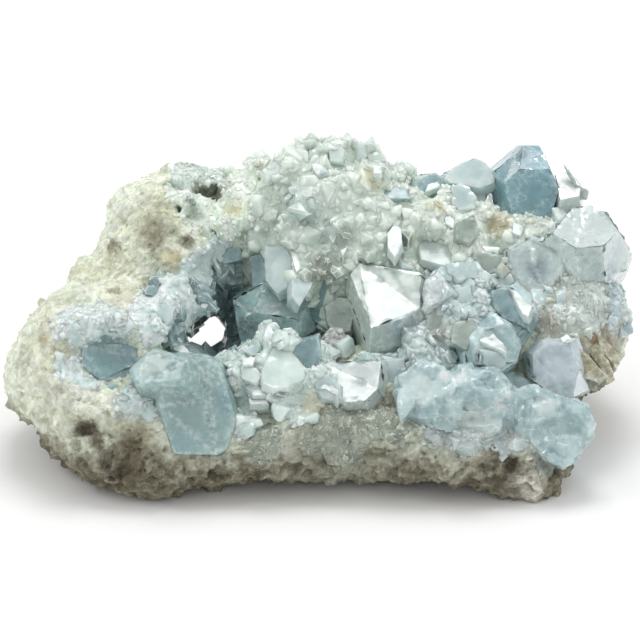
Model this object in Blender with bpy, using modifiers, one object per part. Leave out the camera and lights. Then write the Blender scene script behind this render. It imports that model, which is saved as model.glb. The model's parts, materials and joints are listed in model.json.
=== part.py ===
"""A celestite geode: a block of pale rock whose hollow and top are grown over with crystals.

Units are metres. +X is the right of the piece, +Y its back and +Z up, and the origin is on the
flat spot that it rests on, in the middle of its width and depth. Sizes named below are in
millimetres and are scaled by MM where they are used.
"""
import math
import random

import bmesh
import bpy
from mathutils import Matrix, Quaternion, Vector, noise
from mathutils.bvhtree import BVHTree

# Driving dimensions, in millimetres
MM = 0.001
SEED = 11
GAP = 0.3  # between two pieces that touch
WALL_GAP = 0.5  # between the crust and the rock, measured at the rock's corners
FLAT_ANGLE = math.radians(1.5)
ROCK_VOXEL = 2.2
FINE_VOXEL = 1.76  # of the rock once it has its ledges
CRUST_VOXEL = 2.6
ROCK_FACES = 2300
CRUST_BASE_FACES = 480
LINING = 3.0  # thickness of the crust in the hollow
BROAD_SWELL = 1.6  # height of the rock's broad swells
ROUGH_LEDGE = 1.9  # height of its ledges
CHIP_SPACING = 12.0  # distance between the chips whose edges are the ledges
ROUGH_GRAIN = 0.7  # height of its coarse grain
PIT_DEPTH = 2.2
PIT_SPACING = 11.0
PIT_REACH = 0.33  # share of that spacing that a pit reaches
SMALL_SINK = 0.4  # share of a small crystal that is sunk in the crust
SMALL_SPACING = 0.47  # distance between two small crystals over the sum of their sizes
LOWEST_SMALL = 15.0  # no small crystal starts lower (mm) than this
CLEAR_BEFORE = 14.0  # a small crystal this near (mm) in front of a large one is left out
PLACES_TRIED = 5000
SMALL_LEAN = 0.25  # how far a small crystal leans from square to the crust, as a tangent
SIZE_SPREAD = (0.8, 1.3)
FACE_SPREAD = (0.85, 1.15)  # how unevenly a small crystal's faces have grown
CRUST_SWELL = 1.2  # height of the swells of the crust under its crystals
CRUST_SWELL_SPACING = 9.0
CLEAR_OF_ROCK = 1.0  # how far above the rock a small crystal starts
CLEAR_OF_LARGE = 2.0
GRIT = 1.5  # how far small crystals stand out into the tunnel
CRUST_BASE = 1.5  # the crust ends this far above the ground
BLANK = 200.0  # side of the cube that a large crystal is cut from
ROOM = 120.0  # more than the piece reaches from its middle

# Celestine's unit cell (a, b, c) and the faces that bound its crystals: index and distance
CELL = (8.36, 5.35, 6.87)
BLOCK = (((0, 0, 1), 0.75), ((2, 1, 0), 0.80), ((0, 1, 1), 0.88))
CHISEL = (((0, 0, 1), 0.95), ((2, 1, 0), 0.72), ((1, 0, 2), 0.90))

# Rock: middles and half sizes of the lumps that the block is made of
ROCK_LUMPS = {
    "base": ((0, 0, 12), (70, 38, 16)),
    "front_band": ((0, -28.5, 13), (62, 17, 13)),
    "left_foot": ((-43, -26.5, 11), (28, 20, 15.5)),
    "left_knob": ((-60, -12, 25), (24.3, 29, 23)),
    "hump_low": ((-54, 12, 26), (20, 24, 22)),
    "hump": ((-42, 24, 38), (20, 22, 30)),
    "bridge": ((-24, 32, 50), (18, 14, 15)),
    "dome": ((3, 30, 36), (20, 19, 26)),
    "back_right": ((34, 30, 30), (26, 18, 24)),
    "right_back": ((58, 26, 32), (20, 20, 26)),
    "right_end": ((65, 6, 28), (20.2, 22, 21)),
    "right_heel": ((40, -28.5, 12), (14, 19, 13)),
    "right_foot": ((52, -27, 9), (18.4, 19, 15)),
    "floor": ((10, -5, 10), (50, 32, 13)),
}
HOLLOW_LUMPS = {
    "main": ((-12, 4, 33), (24, 20, 20)),
    "left_pocket": ((-56, -34, 38), (14, 10, 9)),
    "slot": ((-32, 20, 62), (7, 5, 8)),
}
TUNNEL = ((-31, -34, 44.4), (-31, 50, 6))  # where the hollow runs out through the back
TUNNEL_RADII = (8.0, 6.5)
ROCK_HOLLOW = 2.0  # how much wider the rock's hollow is than the one between its crystals

# Crust of small crystals: the lumps of its floor, and how big its crystals are there
CRUST_LUMPS = {
    "dome": ((3, 27, 45), (22, 21, 26), 9.0),
    "dome_skirt": ((-2, 16, 38), (15, 11, 16), 9.0),
    "dome_left": ((-9, 30, 52), (12, 12, 17.5), 8.5),
    "dome_right": ((14, 30, 52), (11, 11, 16.5), 8.5),
    "left_rim": ((-36, 20, 50), (13, 11, 12), 8.0),
    "left_slope": ((-40, 4, 38), (10, 13, 10), 8.0),
    "left_pocket": ((-56, -14, 38), (13, 10, 9), 8.0),
    "right_back": ((36, 24, 38), (24, 17, 21), 9.0),
    "right_slope": ((44, 2, 30), (26, 18, 16), 9.5),
    "right_end": ((61, 8, 32), (19, 20, 18), 9.5),
    "right_front": ((38, -16, 18), (31, 14, 15), 10.0),
    "front_centre": ((-10, -23, 21), (19, 12, 17), 9.0),
}

# Large crystals. Each is given by the face that shows in front: its middle, the way it looks, the
# depth of the crystal behind it, and the faces round it as (bearing, distance, slope, shoulder).
# A bearing is in degrees round the front face, 0 to the right and 90 up. A slope is how far that
# face leans out from square to the front one, and its shoulder is how far (mm) it runs out
# before the crystal's straight side takes over.
LARGE_CRYSTALS = {
    "centre_crystal": (
        ((19, -6, 44), (0, -0.45, 0.89), 24, (
            (-68, 9.2, 25, 3.2), (-41, 9.4, 35, 3), (-4, 8.6, 30, 6), (78, 9.0, 42, 2.4),
            (150, 12.2, 30, 1), (-164, 7.9, 14, 1.4), (30, 11.0, 30, 3))),
    ),
    "centre_back_crystal": (
        ((32.5, 12, 48), (0.05, -0.45, 0.89), 15, (
            (-164, 4.6, 12, 1), (-77, 4.2, 20, 2), (-21, 5.8, 25, 3), (75, 4.6, 35, 2),
            (152, 5.4, 20, 1))),
    ),
    "cavity_crystal": (
        ((-13.5, 1, 30), (-0.15, -0.97, 0.15), 20, (
            (-90, 6.5, 6, 2), (-50, 7.5, 10, 2), (12, 9.0, 30, 3), (84, 4.2, 48, 7.5),
            (122, 6.2, 40, 5), (-168, 8.6, 12, 1))),
    ),
    "front_left_crystal": (
        ((-31, -40, 27.4), (0.1, -0.88, 0.45), 26, (
            (-166, 10.2, 8, 1), (-95, 13.0, 4, 2), (-60, 13.5, 12, 2), (-22, 10.5, 12, 2),
            (14, 8.0, 16, 2), (60, 12.0, 24, 1.2), (84, 12.6, 14, 1.2), (110, 14.0, 14, 1.2),
            (164, 10.5, 14, 1))),
        ((-42, -37, 36.4), (-0.35, -0.6, 0.7), 18, (
            (-75, 4.5, 10, 2), (19, 8.6, 18, 1.5), (89, 4.8, 30, 1.5), (150, 6.2, 30, 1.5),
            (-133, 7.3, 12, 1.5))),
    ),
    "back_right_crystal": (
        ((59.5, 23, 64), (0.1, -0.92, 0.35), 17, (
            (-94, 12, 0, 0), (-18, 7.4, 5, 1), (22, 6.2, 10, 1), (88, 4.2, 42, 6.6),
            (128, 5.6, 38, 3.6), (-169, 7.6, 14, 2.6))),
    ),
    "back_right_flake": (
        ((69.5, 24, 63.5), (0, -0.45, 0.89), 13, (
            (-75, 4.4, 6, 1), (-11, 3.4, 10, 1), (25, 3.0, 20, 1), (115, 5.4, 12, 1),
            (-175, 3.0, 6, 1))),
    ),
    "right_end_crystals": (
        ((74, 7, 58), (0.2, -0.4, 0.88), 24, (
            (-98, 7.0, 38, 6), (-60, 6.5, 34, 6), (2, 7.5, 34, 5.2), (40, 8.0, 30, 3),
            (86, 7.4, 20, 1.5), (125, 7.0, 20, 2), (-150, 9.6, 35, 3))),
        ((59, -1, 50), (-0.2, -0.8, 0.55), 20, (
            (-140, 6.8, 14, 3), (-90, 7.2, 6, 3), (-45, 7.2, 14, 3), (0, 6.8, 26, 3),
            (45, 7.0, 24, 2), (86, 6.8, 24, 2), (124, 7.2, 20, 2), (-176, 7.2, 16, 2))),
    ),
    "right_mid_crystal": (
        ((63.5, -23, 29.9), (-0.1, -0.9, 0.4), 24, (
            (-123, 6.2, 4, 2), (-60, 9.0, 4, 2), (-8, 6.0, 42, 4), (24, 5.6, 36, 3),
            (95, 6.4, 20, 1.5), (134, 6.8, 20, 2), (-175, 6.0, 20, 3))),
    ),
    "right_front_crystals": (
        ((65, -39, 20), (0.15, -0.85, 0.5), 24, (
            (-143, 8.6, 8, 2), (-91, 7.4, 4, 2), (-40, 7.4, 12, 1.5), (2, 7.0, 24, 1.5),
            (68, 6.6, 34, 2.5), (92, 7.2, 30, 2.5), (172, 9.0, 24, 2))),
        ((42, -38, 28.8), (0, -0.75, 0.65), 24, (
            (-102, 7.8, 10, 2), (-60, 8.2, 14, 2), (-15, 8.2, 30, 2.5), (40, 7.6, 30, 2.5),
            (90, 7.6, 24, 2), (147, 8.0, 28, 2), (-156, 7.8, 14, 2))),
        ((27.5, -37, 30.4), (-0.1, -0.7, 0.7), 22, (
            (-106, 7.8, 8, 2), (-36, 6.4, 18, 2), (0, 6.0, 30, 2), (71, 7.8, 24, 2),
            (134, 7.2, 20, 1.5), (-168, 6.0, 14, 1.5))),
    ),
    "right_centre_crystals": (
        ((47.5, -24, 36.9), (0.3, -0.8, 0.5), 22, (
            (-115, 6.6, 10, 2), (-68, 6.4, 14, 2), (-30, 6.6, 24, 2), (15, 6.2, 34, 2),
            (50, 6.4, 36, 2), (100, 5.0, 48, 4), (140, 5.2, 44, 3), (173, 6.0, 24, 2))),
        ((52, -13, 41.9), (-0.1, -0.75, 0.65), 20, (
            (-114, 5.4, 10, 2), (-30, 4.8, 20, 2), (20, 5.0, 30, 2), (49, 4.6, 34, 3),
            (113, 6.8, 24, 2), (-151, 5.4, 12, 2))),
    ),
    "front_mid_crystal": (
        ((9, -31, 29.9), (0, -0.45, 0.89), 20, (
            (-140, 6.4, 10, 1), (-90, 6.6, 14, 1.5), (-40, 6.6, 20, 1.5), (-7, 6.9, 26, 2),
            (92, 6.6, 30, 1.5), (-172, 6.6, 14, 1))),
    ),
    "pocket_crystal": (
        ((-54.5, -27, 34), (0.1, -0.8, 0.6), 16, (
            (-133, 6.1, 8, 1), (-90, 5.0, 4, 1), (-46, 6.4, 10, 1.5), (30, 8.0, 24, 1.5),
            (87, 4.6, 30, 3), (174, 8.2, 20, 2))),
    ),
    "back_rim_crystals": (
        ((31, 30, 60), (0, -0.9, 0.4), 12, (
            (-90, 9.0, 0, 0), (-18, 4.2, 6, 1), (61, 3.4, 26, 1), (99, 3.2, 30, 1),
            (165, 4.4, 14, 1))),
        ((42, 29, 61.5), (0.1, -0.85, 0.5), 13, (
            (-90, 9.0, 0, 0), (-10, 5.0, 8, 1), (50, 4.6, 24, 1.5), (110, 5.0, 20, 1),
            (180, 4.8, 12, 1))),
    ),
}

COLOURS = {
    "rock": ((0.60, 0.58, 0.46), 0.9),
    "crust": ((0.62, 0.72, 0.66), 0.35),
    "crystal": ((0.42, 0.60, 0.62), 0.12),
}


def clear_scene():
    for obj in list(bpy.data.objects):
        bpy.data.objects.remove(obj, do_unlink=True)


def new_collection(name, hidden=False):
    collection = bpy.data.collections.new(name)
    bpy.context.scene.collection.children.link(collection)
    collection.hide_render = hidden
    return collection


def make_material(name, colour, roughness):
    made = bpy.data.materials.new(name)
    made.use_nodes = True
    shader = made.node_tree.nodes["Principled BSDF"]
    shader.inputs["Base Color"].default_value = (*colour, 1)
    shader.inputs["Roughness"].default_value = roughness
    shader.inputs["Metallic"].default_value = 0.0
    made.diffuse_color = (*colour, 1)
    return made


def object_from(bm, name, collection, material=None):
    mesh = bpy.data.meshes.new(name)
    bm.to_mesh(mesh)
    bm.free()
    obj = bpy.data.objects.new(name, mesh)
    collection.objects.link(obj)
    if collection.hide_render:
        obj.display_type = "WIRE"
    if material:
        mesh.materials.append(material)
    return obj


def apply_modifiers(obj):
    """Bakes the object's modifiers into its own mesh."""
    bpy.context.view_layer.update()
    graph = bpy.context.evaluated_depsgraph_get()
    mesh = bpy.data.meshes.new_from_object(obj.evaluated_get(graph))
    old = obj.data
    obj.modifiers.clear()
    obj.data = mesh
    bpy.data.meshes.remove(old)


def boolean(obj, operation, other, itself=False):
    modifier = obj.modifiers.new(operation.lower(), "BOOLEAN")
    modifier.operation = operation
    modifier.object = other
    modifier.solver = "EXACT"
    modifier.use_self = itself
    apply_modifiers(obj)


def remesh(obj, voxel):
    modifier = obj.modifiers.new("remesh", "REMESH")
    modifier.mode = "VOXEL"
    modifier.voxel_size = voxel * MM
    apply_modifiers(obj)


def decimate(obj, faces):
    modifier = obj.modifiers.new("decimate", "DECIMATE")
    modifier.ratio = min(1.0, faces / (2 * len(obj.data.polygons)))
    apply_modifiers(obj)


def keep_largest_island(obj):
    """Removes the loose chips that a cut leaves."""
    bm = bmesh.new()
    bm.from_mesh(obj.data)
    left = set(bm.verts)
    islands = []
    while left:
        stack = [left.pop()]
        island = set(stack)
        while stack:
            for edge in stack.pop().link_edges:
                for vert in edge.verts:
                    if vert in left:
                        left.remove(vert)
                        island.add(vert)
                        stack.append(vert)
        islands.append(island)
    keep = max(islands, key=len)
    bmesh.ops.delete(bm, geom=[v for v in bm.verts if v not in keep], context="VERTS")
    bm.to_mesh(obj.data)
    bm.free()


def ellipsoid(bm, middle, radii, rings=4):
    place = Matrix.Translation(Vector(middle) * MM) @ Matrix.Diagonal((*(Vector(radii) * MM), 1))
    bmesh.ops.create_icosphere(bm, subdivisions=rings, radius=1.0, matrix=place)


def lumps_object(name, lumps, voxel, collection):
    """One solid from overlapping ellipsoids."""
    bm = bmesh.new()
    for middle, radii in lumps:
        ellipsoid(bm, middle, radii)
    obj = object_from(bm, name, collection)
    remesh(obj, voxel)
    return obj


def tunnel_object(collection, grow):
    start, end = (Vector(p) * MM for p in TUNNEL)
    along = end - start
    place = Matrix.Translation((start + end) / 2) @ along.to_track_quat("Z", "Y").to_matrix().to_4x4()
    bm = bmesh.new()
    bmesh.ops.create_cone(
        bm, cap_ends=True, segments=14, radius1=(TUNNEL_RADII[0] + grow) * MM,
        radius2=(TUNNEL_RADII[1] + grow) * MM, depth=along.length, matrix=place)
    return object_from(bm, "tunnel", collection)


def ledge_height(point):
    """How far the rock stands out or in at a point, in mm."""
    broad = noise.noise(point / 22) * BROAD_SWELL
    _, chips = noise.voronoi(point / CHIP_SPACING + Vector((4, 2, 7)))
    ledge = noise.noise(chips[0] * 3.7 + Vector((0.5, 0.3, 0.1))) * 2
    grain = noise.noise(point / 4.5 + Vector((1, 9, 4)))
    distances, _ = noise.voronoi(point / PIT_SPACING)
    pit = max(0.0, 1 - distances[0] / PIT_REACH)
    return broad + ROUGH_LEDGE * ledge + ROUGH_GRAIN * grain - PIT_DEPTH * pit


def roughen(obj, height):
    bm = bmesh.new()
    bm.from_mesh(obj.data)
    bm.normal_update()
    moves = [v.normal * height(v.co / MM) * MM for v in bm.verts]
    for vert, move in zip(bm.verts, moves):
        vert.co += move
    bm.to_mesh(obj.data)
    bm.free()


def below_object(height, collection):
    """A block of everything lower than this height (mm)."""
    bm = bmesh.new()
    bmesh.ops.create_cube(
        bm, size=2 * ROOM * MM, matrix=Matrix.Translation((0, 0, (height - ROOM) * MM)))
    return object_from(bm, "below", collection)


def cut_to_planes(planes, size):
    """A convex solid: a cube cut by (point, normal) planes, in metres."""
    bm = bmesh.new()
    bmesh.ops.create_cube(bm, size=size)
    for point, normal in planes:
        everything = bm.verts[:] + bm.edges[:] + bm.faces[:]
        cut = bmesh.ops.bisect_plane(
            bm, geom=everything, dist=1e-7, plane_co=point, plane_no=normal, clear_outer=True)
        edges = [e for e in cut["geom_cut"] if isinstance(e, bmesh.types.BMEdge)]
        if edges:
            bmesh.ops.contextual_create(bm, geom=edges)
    bmesh.ops.remove_doubles(bm, verts=bm.verts[:], dist=1e-6)
    bmesh.ops.recalc_face_normals(bm, faces=bm.faces[:])
    return bm


def large_crystal(front, grow=0.0):
    """A bmesh of one large crystal, with every face moved out by grow (mm)."""
    middle, facing, depth, sides = front
    look = Vector(facing).normalized()
    right = Vector((0, 0, 1)).cross(look).normalized()
    up = look.cross(right)
    planes = [(look * grow, look), (-look * (depth + grow), -look)]
    for bearing, distance, slope, shoulder in sides:
        out = right * math.cos(math.radians(bearing)) + up * math.sin(math.radians(bearing))
        normal = out * math.cos(math.radians(slope)) + look * math.sin(math.radians(slope))
        planes.append((out * distance + normal * grow, normal))
        planes.append((out * (distance + shoulder + grow), out))
    bm = cut_to_planes([(p * MM, n) for p, n in planes], BLANK * MM)
    bmesh.ops.translate(bm, verts=bm.verts[:], vec=Vector(middle) * MM)
    return bm


def joined_crystals(name, fronts, collection, material=None, grow=0.0):
    first, *others = fronts
    obj = object_from(large_crystal(first, grow), name, collection, material)
    for front in others:
        other = object_from(large_crystal(front, grow), name + "_other", collection)
        boolean(obj, "UNION", other)
        bpy.data.objects.remove(other, do_unlink=True)
    return obj


def form_normals(index):
    """Outward normals of a crystal form, one for each sign of its index."""
    h, k, l = (i / length for i, length in zip(index, CELL))
    signs = [(a, b, c) for a in (1, -1) for b in (1, -1) for c in (1, -1)]
    return {(round(h * a, 9) + 0.0, round(k * b, 9) + 0.0, round(l * c, 9) + 0.0) for a, b, c in signs}


def small_crystal(draw, middle, pointing, size, habit):
    """A celestine crystal of about this size (mm), its c axis along pointing."""
    turn = pointing.to_track_quat("Z", "Y") @ Quaternion((0, 0, 1), draw.uniform(0, math.tau))
    planes = []
    for index, distance in habit:
        for normal in sorted(form_normals(index)):
            normal = Vector(normal).normalized()
            reach = distance * draw.uniform(*FACE_SPREAD) * size / 2 * MM
            planes.append((turn @ normal * reach, turn @ normal))
    bm = cut_to_planes(planes, size * 3 * MM)
    bmesh.ops.translate(bm, verts=bm.verts[:], vec=middle)
    return bm


def in_front_of_large(point):
    """Whether a point (mm) lies before the front face of a large crystal."""
    for fronts in LARGE_CRYSTALS.values():
        for middle, facing, _, sides in fronts:
            look = Vector(facing).normalized()
            away = point - Vector(middle)
            along = away.dot(look)
            across = (away - look * along).length
            reach = sum(distance for _, distance, _, _ in sides) / len(sides)
            if -CLEAR_OF_LARGE < along < CLEAR_BEFORE and across < reach + CLEAR_OF_ROCK:
                return True
    return False


def crust_places(crust, closed_to, draw):
    """Places for small crystals on the crust's free surface: (point, normal, size)."""
    bm = bmesh.new()
    bm.from_mesh(crust.data)
    bmesh.ops.triangulate(bm, faces=bm.faces[:])
    faces = draw.choices(bm.faces[:], [f.calc_area() for f in bm.faces], k=PLACES_TRIED)
    chosen = []
    for face in faces:
        a, b, c = (v.co for v in face.verts)
        u, v = draw.random(), draw.random()
        if u + v > 1:
            u, v = 1 - u, 1 - v
        point = a + (b - a) * u + (c - a) * v
        size = crystal_size(point / MM)
        near = SMALL_SPACING * MM
        if in_front_of_large(point / MM) or point.z < LOWEST_SMALL * MM:
            continue
        if any((point - other).length < near * (size + before) for other, _, before in chosen):
            continue
        if not any(inside(tree, point + face.normal * reach * MM) for tree, reach in closed_to):
            chosen.append((point, face.normal.copy(), size))
    bm.free()
    return chosen


def crystal_size(point):
    """The size (mm) of the small crystals near a point: that of the lump it lies on."""
    def depth(lump):
        middle, radii, _ = lump
        return sum(((p - m) / r) ** 2 for p, m, r in zip(point, middle, radii))

    return min(CRUST_LUMPS.values(), key=depth)[2]


def inside(tree, point):
    nearest, normal, _, _ = tree.find_nearest(point)
    return nearest is not None and (point - nearest).dot(normal) < 0


def tree_of(obj):
    bm = bmesh.new()
    bm.from_mesh(obj.data)
    tree = BVHTree.FromBMesh(bm)
    bm.free()
    return tree


def grown(lumps, amount):
    return [(middle, [r + amount for r in radii]) for middle, radii, *_ in lumps.values()]


def copy_of(obj, name, collection):
    copy = bpy.data.objects.new(name, obj.data.copy())
    collection.objects.link(copy)
    return copy


def hollow_object(name, grow, collection):
    hollow = lumps_object(name, grown(HOLLOW_LUMPS, grow), ROCK_VOXEL, collection)
    boolean(hollow, "UNION", tunnel_object(collection, grow))
    remesh(hollow, ROCK_VOXEL)
    return hollow


def make_rock(parts, cutters, material):
    rock = lumps_object("matrix", grown(ROCK_LUMPS, 0), ROCK_VOXEL, parts)
    boolean(rock, "DIFFERENCE", hollow_object("hollow", ROCK_HOLLOW, cutters))
    remesh(rock, ROCK_VOXEL)
    roughen(rock, ledge_height)
    remesh(rock, FINE_VOXEL)
    decimate(rock, ROCK_FACES)
    boolean(rock, "DIFFERENCE", below_object(0, cutters))
    keep_largest_island(rock)
    rock.data.materials.clear()
    rock.data.materials.append(material)
    return rock


def lining_object(cutters):
    """The crust in the hollow: what lies between its wall and a smaller hollow."""
    lining = hollow_object("lining", ROCK_HOLLOW + LINING, cutters)
    boolean(lining, "INTERSECT", lumps_object("whole", grown(ROCK_LUMPS, -1), ROCK_VOXEL, cutters))
    boolean(lining, "DIFFERENCE", hollow_object("clear", ROCK_HOLLOW - LINING, cutters))
    return lining


def small_crystals_object(places, draw, cutters):
    bm = bmesh.new()
    for point, normal, size in places:
        lean = Vector([draw.gauss(0, SMALL_LEAN) for _ in range(3)])
        size *= draw.uniform(*SIZE_SPREAD)
        middle = point + normal * (0.5 - SMALL_SINK) * size * MM
        one = small_crystal(draw, middle, normal + lean, size, draw.choice((BLOCK, CHISEL)))
        mesh = bpy.data.meshes.new("one")
        one.to_mesh(mesh)
        one.free()
        bm.from_mesh(mesh)
        bpy.data.meshes.remove(mesh)
    return object_from(bm, "small_crystals", cutters)


def make_crust(parts, cutters, rock, large, material):
    draw = random.Random(SEED)
    crust = lumps_object("crystal_crust", grown(CRUST_LUMPS, 0), CRUST_VOXEL, parts)
    boolean(crust, "UNION", lining_object(cutters))
    boolean(crust, "DIFFERENCE", tunnel_object(cutters, ROCK_HOLLOW - LINING))
    remesh(crust, CRUST_VOXEL)
    roughen(crust, lambda p: CRUST_SWELL * noise.noise(p / CRUST_SWELL_SPACING))
    decimate(crust, CRUST_BASE_FACES)
    closed_to = [(tree_of(rock), CLEAR_OF_ROCK)] + [(tree_of(one), CLEAR_OF_LARGE) for one in large]
    places = crust_places(crust, closed_to, draw)
    boolean(crust, "UNION", small_crystals_object(places, draw, cutters), itself=True)
    wall = copy_of(rock, "rock_wall", cutters)
    swell = wall.modifiers.new("swell", "DISPLACE")
    swell.strength = WALL_GAP * MM
    swell.mid_level = 0.0
    apply_modifiers(wall)
    boolean(crust, "DIFFERENCE", wall, itself=True)
    boolean(crust, "DIFFERENCE", tunnel_object(cutters, ROCK_HOLLOW - LINING - GRIT))
    boolean(crust, "DIFFERENCE", below_object(CRUST_BASE, cutters))
    return crust


def tidy_faces(obj):
    """Joins the flat faces that a cut leaves in strips, and fixes their triangles."""
    bm = bmesh.new()
    bm.from_mesh(obj.data)
    bmesh.ops.dissolve_limit(
        bm, angle_limit=FLAT_ANGLE, use_dissolve_boundaries=False, verts=bm.verts[:],
        edges=bm.edges[:])
    bmesh.ops.triangulate(bm, faces=bm.faces[:])
    bm.to_mesh(obj.data)
    bm.free()


def cut_sockets(obj, names, cutters):
    """Cuts a body clear of the large crystals that stand in it."""
    for name in names:
        socket = joined_crystals(name + "_socket", LARGE_CRYSTALS[name], cutters, grow=GAP)
        boolean(obj, "DIFFERENCE", socket)


def centre_on_origin(parts):
    """Moves everything so that the origin is in the middle of the width and depth."""
    corners = [obj.matrix_world @ v.co for obj in parts.objects for v in obj.data.vertices]
    middle = [(min(c[i] for c in corners) + max(c[i] for c in corners)) / 2 for i in (0, 1)]
    for obj in parts.objects:
        obj.data.transform(Matrix.Translation((-middle[0], -middle[1], 0)))


def main():
    clear_scene()
    parts = new_collection("celestite_geode")
    cutters = new_collection("cutters", hidden=True)
    materials = {name: make_material(name, *look) for name, look in COLOURS.items()}
    large = []
    for name, fronts in LARGE_CRYSTALS.items():
        one = joined_crystals(name, fronts, parts, materials["crystal"])
        cut_sockets(one, [before.name for before in large], cutters)
        keep_largest_island(one)
        large.append(one)
    rock = make_rock(parts, cutters, materials["rock"])
    tidy_faces(rock)
    crust = make_crust(parts, cutters, rock, large, materials["crust"])
    for body in (rock, crust):
        cut_sockets(body, LARGE_CRYSTALS, cutters)
        keep_largest_island(body)
    centre_on_origin(parts)


if __name__ == "__main__":
    main()
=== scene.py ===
import json
import math
import random

import bmesh
import bpy
import numpy as np
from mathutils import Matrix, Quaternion, Vector, noise
from mathutils.bvhtree import BVHTree
from mathutils.kdtree import KDTree


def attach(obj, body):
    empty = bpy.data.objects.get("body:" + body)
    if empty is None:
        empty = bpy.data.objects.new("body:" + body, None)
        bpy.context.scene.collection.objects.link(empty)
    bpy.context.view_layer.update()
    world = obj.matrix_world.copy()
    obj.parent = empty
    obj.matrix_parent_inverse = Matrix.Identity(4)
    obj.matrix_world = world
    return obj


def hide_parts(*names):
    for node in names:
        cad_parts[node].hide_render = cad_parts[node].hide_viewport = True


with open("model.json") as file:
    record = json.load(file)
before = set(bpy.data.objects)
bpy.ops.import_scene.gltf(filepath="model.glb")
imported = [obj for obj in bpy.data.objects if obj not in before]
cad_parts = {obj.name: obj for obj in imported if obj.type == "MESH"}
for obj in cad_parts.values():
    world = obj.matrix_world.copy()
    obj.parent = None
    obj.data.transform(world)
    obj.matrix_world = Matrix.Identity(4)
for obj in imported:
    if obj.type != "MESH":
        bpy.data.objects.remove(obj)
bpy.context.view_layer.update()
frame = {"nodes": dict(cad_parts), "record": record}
mm = 0.001
noise.seed_set(5)  # the vector noise starts from the clock otherwise, and no two runs match
largeNames = [name for name in frame["nodes"] if name not in ("matrix", "crystal_crust")]


# The photograph's own view: angle in degrees, distance and target in metres, lens and sensor in mm,
# and the picture's width in pixels
photoView = {
    "elevation": 25.0,
    "distance": 0.75,
    "target": (-0.0003, -0.0024, 0.0334),
    "lens": 153.8,
    "sensor": 36.0,
    "pixels": 640,
}


def makeCamera(look):
    camera = bpy.data.objects.new("photoCamera", bpy.data.cameras.new("photoCamera"))
    bpy.context.scene.collection.objects.link(camera)
    angle = math.radians(look["elevation"])
    forward = Vector((0, math.cos(angle), -math.sin(angle)))
    camera.location = Vector(look["target"]) - forward * look["distance"]
    camera.rotation_euler = forward.to_track_quat("-Z", "Y").to_euler()
    camera.data.lens = look["lens"]
    camera.data.sensor_width = look["sensor"]
    camera.data.clip_start = 0.01
    bpy.context.scene.camera = camera
    bpy.context.view_layer.update()
    return camera


def treeOf(objects):
    bm = bmesh.new()
    for obj in objects:
        bm.from_mesh(obj.data)
    tree = BVHTree.FromBMesh(bm)
    bm.free()
    return tree


print("camera")
camera = makeCamera(photoView)

# What a ray from the camera meets: every solid, or the large crystals alone
wholeTree = treeOf(frame["nodes"].values())
largeTree = treeOf([frame["nodes"][name] for name in largeNames])

# One pixel's width at one metre, and the picture's middle
across = photoView["sensor"] / photoView["lens"] / photoView["pixels"]
half = photoView["pixels"] / 2
towardWorld = camera.matrix_world.to_3x3()
towardCamera = camera.matrix_world.inverted()


def rayOf(pixel):
    ray = Vector(((pixel[0] - half) * across, (half - pixel[1]) * across, -1))
    return (towardWorld @ ray).normalized()


def pixelOf(point):
    place = towardCamera @ point
    return place.x / -place.z / across + half, half + place.y / place.z / across


# Where a pixel of the photograph falls on the modelled pieces, or the nearest that does
def seenPoint(pixel):
    steps = 20
    for step in range(steps):
        inward = step / (2 * steps)
        tried = [p + (half - p) * inward for p in pixel]
        place, _, _, _ = wholeTree.ray_cast(camera.location, rayOf(tried))
        if place:
            return place
    return Vector(photoView["target"])


# A direction given as it looks in the photograph: rightward, upward and toward the camera
def screenWay(right, up, near):
    return (towardWorld @ Vector((right, up, near))).normalized()


# Colours are given as they look, 0 to 255, and used as light
def colour(red, green, blue):
    return tuple(
        (c / 255 / 12.92 if c / 255 <= 0.04045 else ((c / 255 + 0.055) / 1.055) ** 2.4)
        for c in (red, green, blue))


# Nodes: a wire is another node's socket, and anything else is a plain value
def plug(tree, socket, value):
    if isinstance(value, bpy.types.NodeSocket):
        tree.links.new(value, socket)
    elif isinstance(value, tuple) and len(value) == 3 and socket.type == "RGBA":
        socket.default_value = (*value, 1)
    else:
        socket.default_value = value


def addNode(tree, kind, settings=None, **inputs):
    node = tree.nodes.new(kind)
    for name, value in (settings or {}).items():
        setattr(node, name, value)
    for name, value in inputs.items():
        numbered = name[0] == "i" and name[1:].isdigit()
        plug(tree, node.inputs[int(name[1:]) if numbered else name.replace("_", " ")], value)
    return node


def noiseOf(tree, place, size, detail, roughness, distortion=0.0):
    return addNode(tree, "ShaderNodeTexNoise", Vector=place, Scale=1 / (size * mm), Detail=detail,
                   Roughness=roughness, Distortion=distortion).outputs["Fac"]


def between(tree, value, low, high, out=(0.0, 1.0), smooth=True):
    kind = {"interpolation_type": "SMOOTHSTEP" if smooth else "LINEAR"}
    return addNode(tree, "ShaderNodeMapRange", kind, Value=value, i1=low, i2=high, i3=out[0],
                   i4=out[1]).outputs[0]


def sums(tree, operation, first, second):
    return addNode(tree, "ShaderNodeMath", {"operation": operation}, i0=first, i1=second).outputs[0]


def blended(tree, factor, first, second, kind="MIX"):
    return addNode(tree, "ShaderNodeMix", {"data_type": "RGBA", "blend_type": kind},
                   i0=factor, i6=first, i7=second).outputs[2]


def bumped(tree, height, distance, strength, before=None):
    inputs = {"Height": height, "Distance": distance * mm, "Strength": strength}
    if before:
        inputs["Normal"] = before
    return addNode(tree, "ShaderNodeBump", **inputs).outputs[0]


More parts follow.
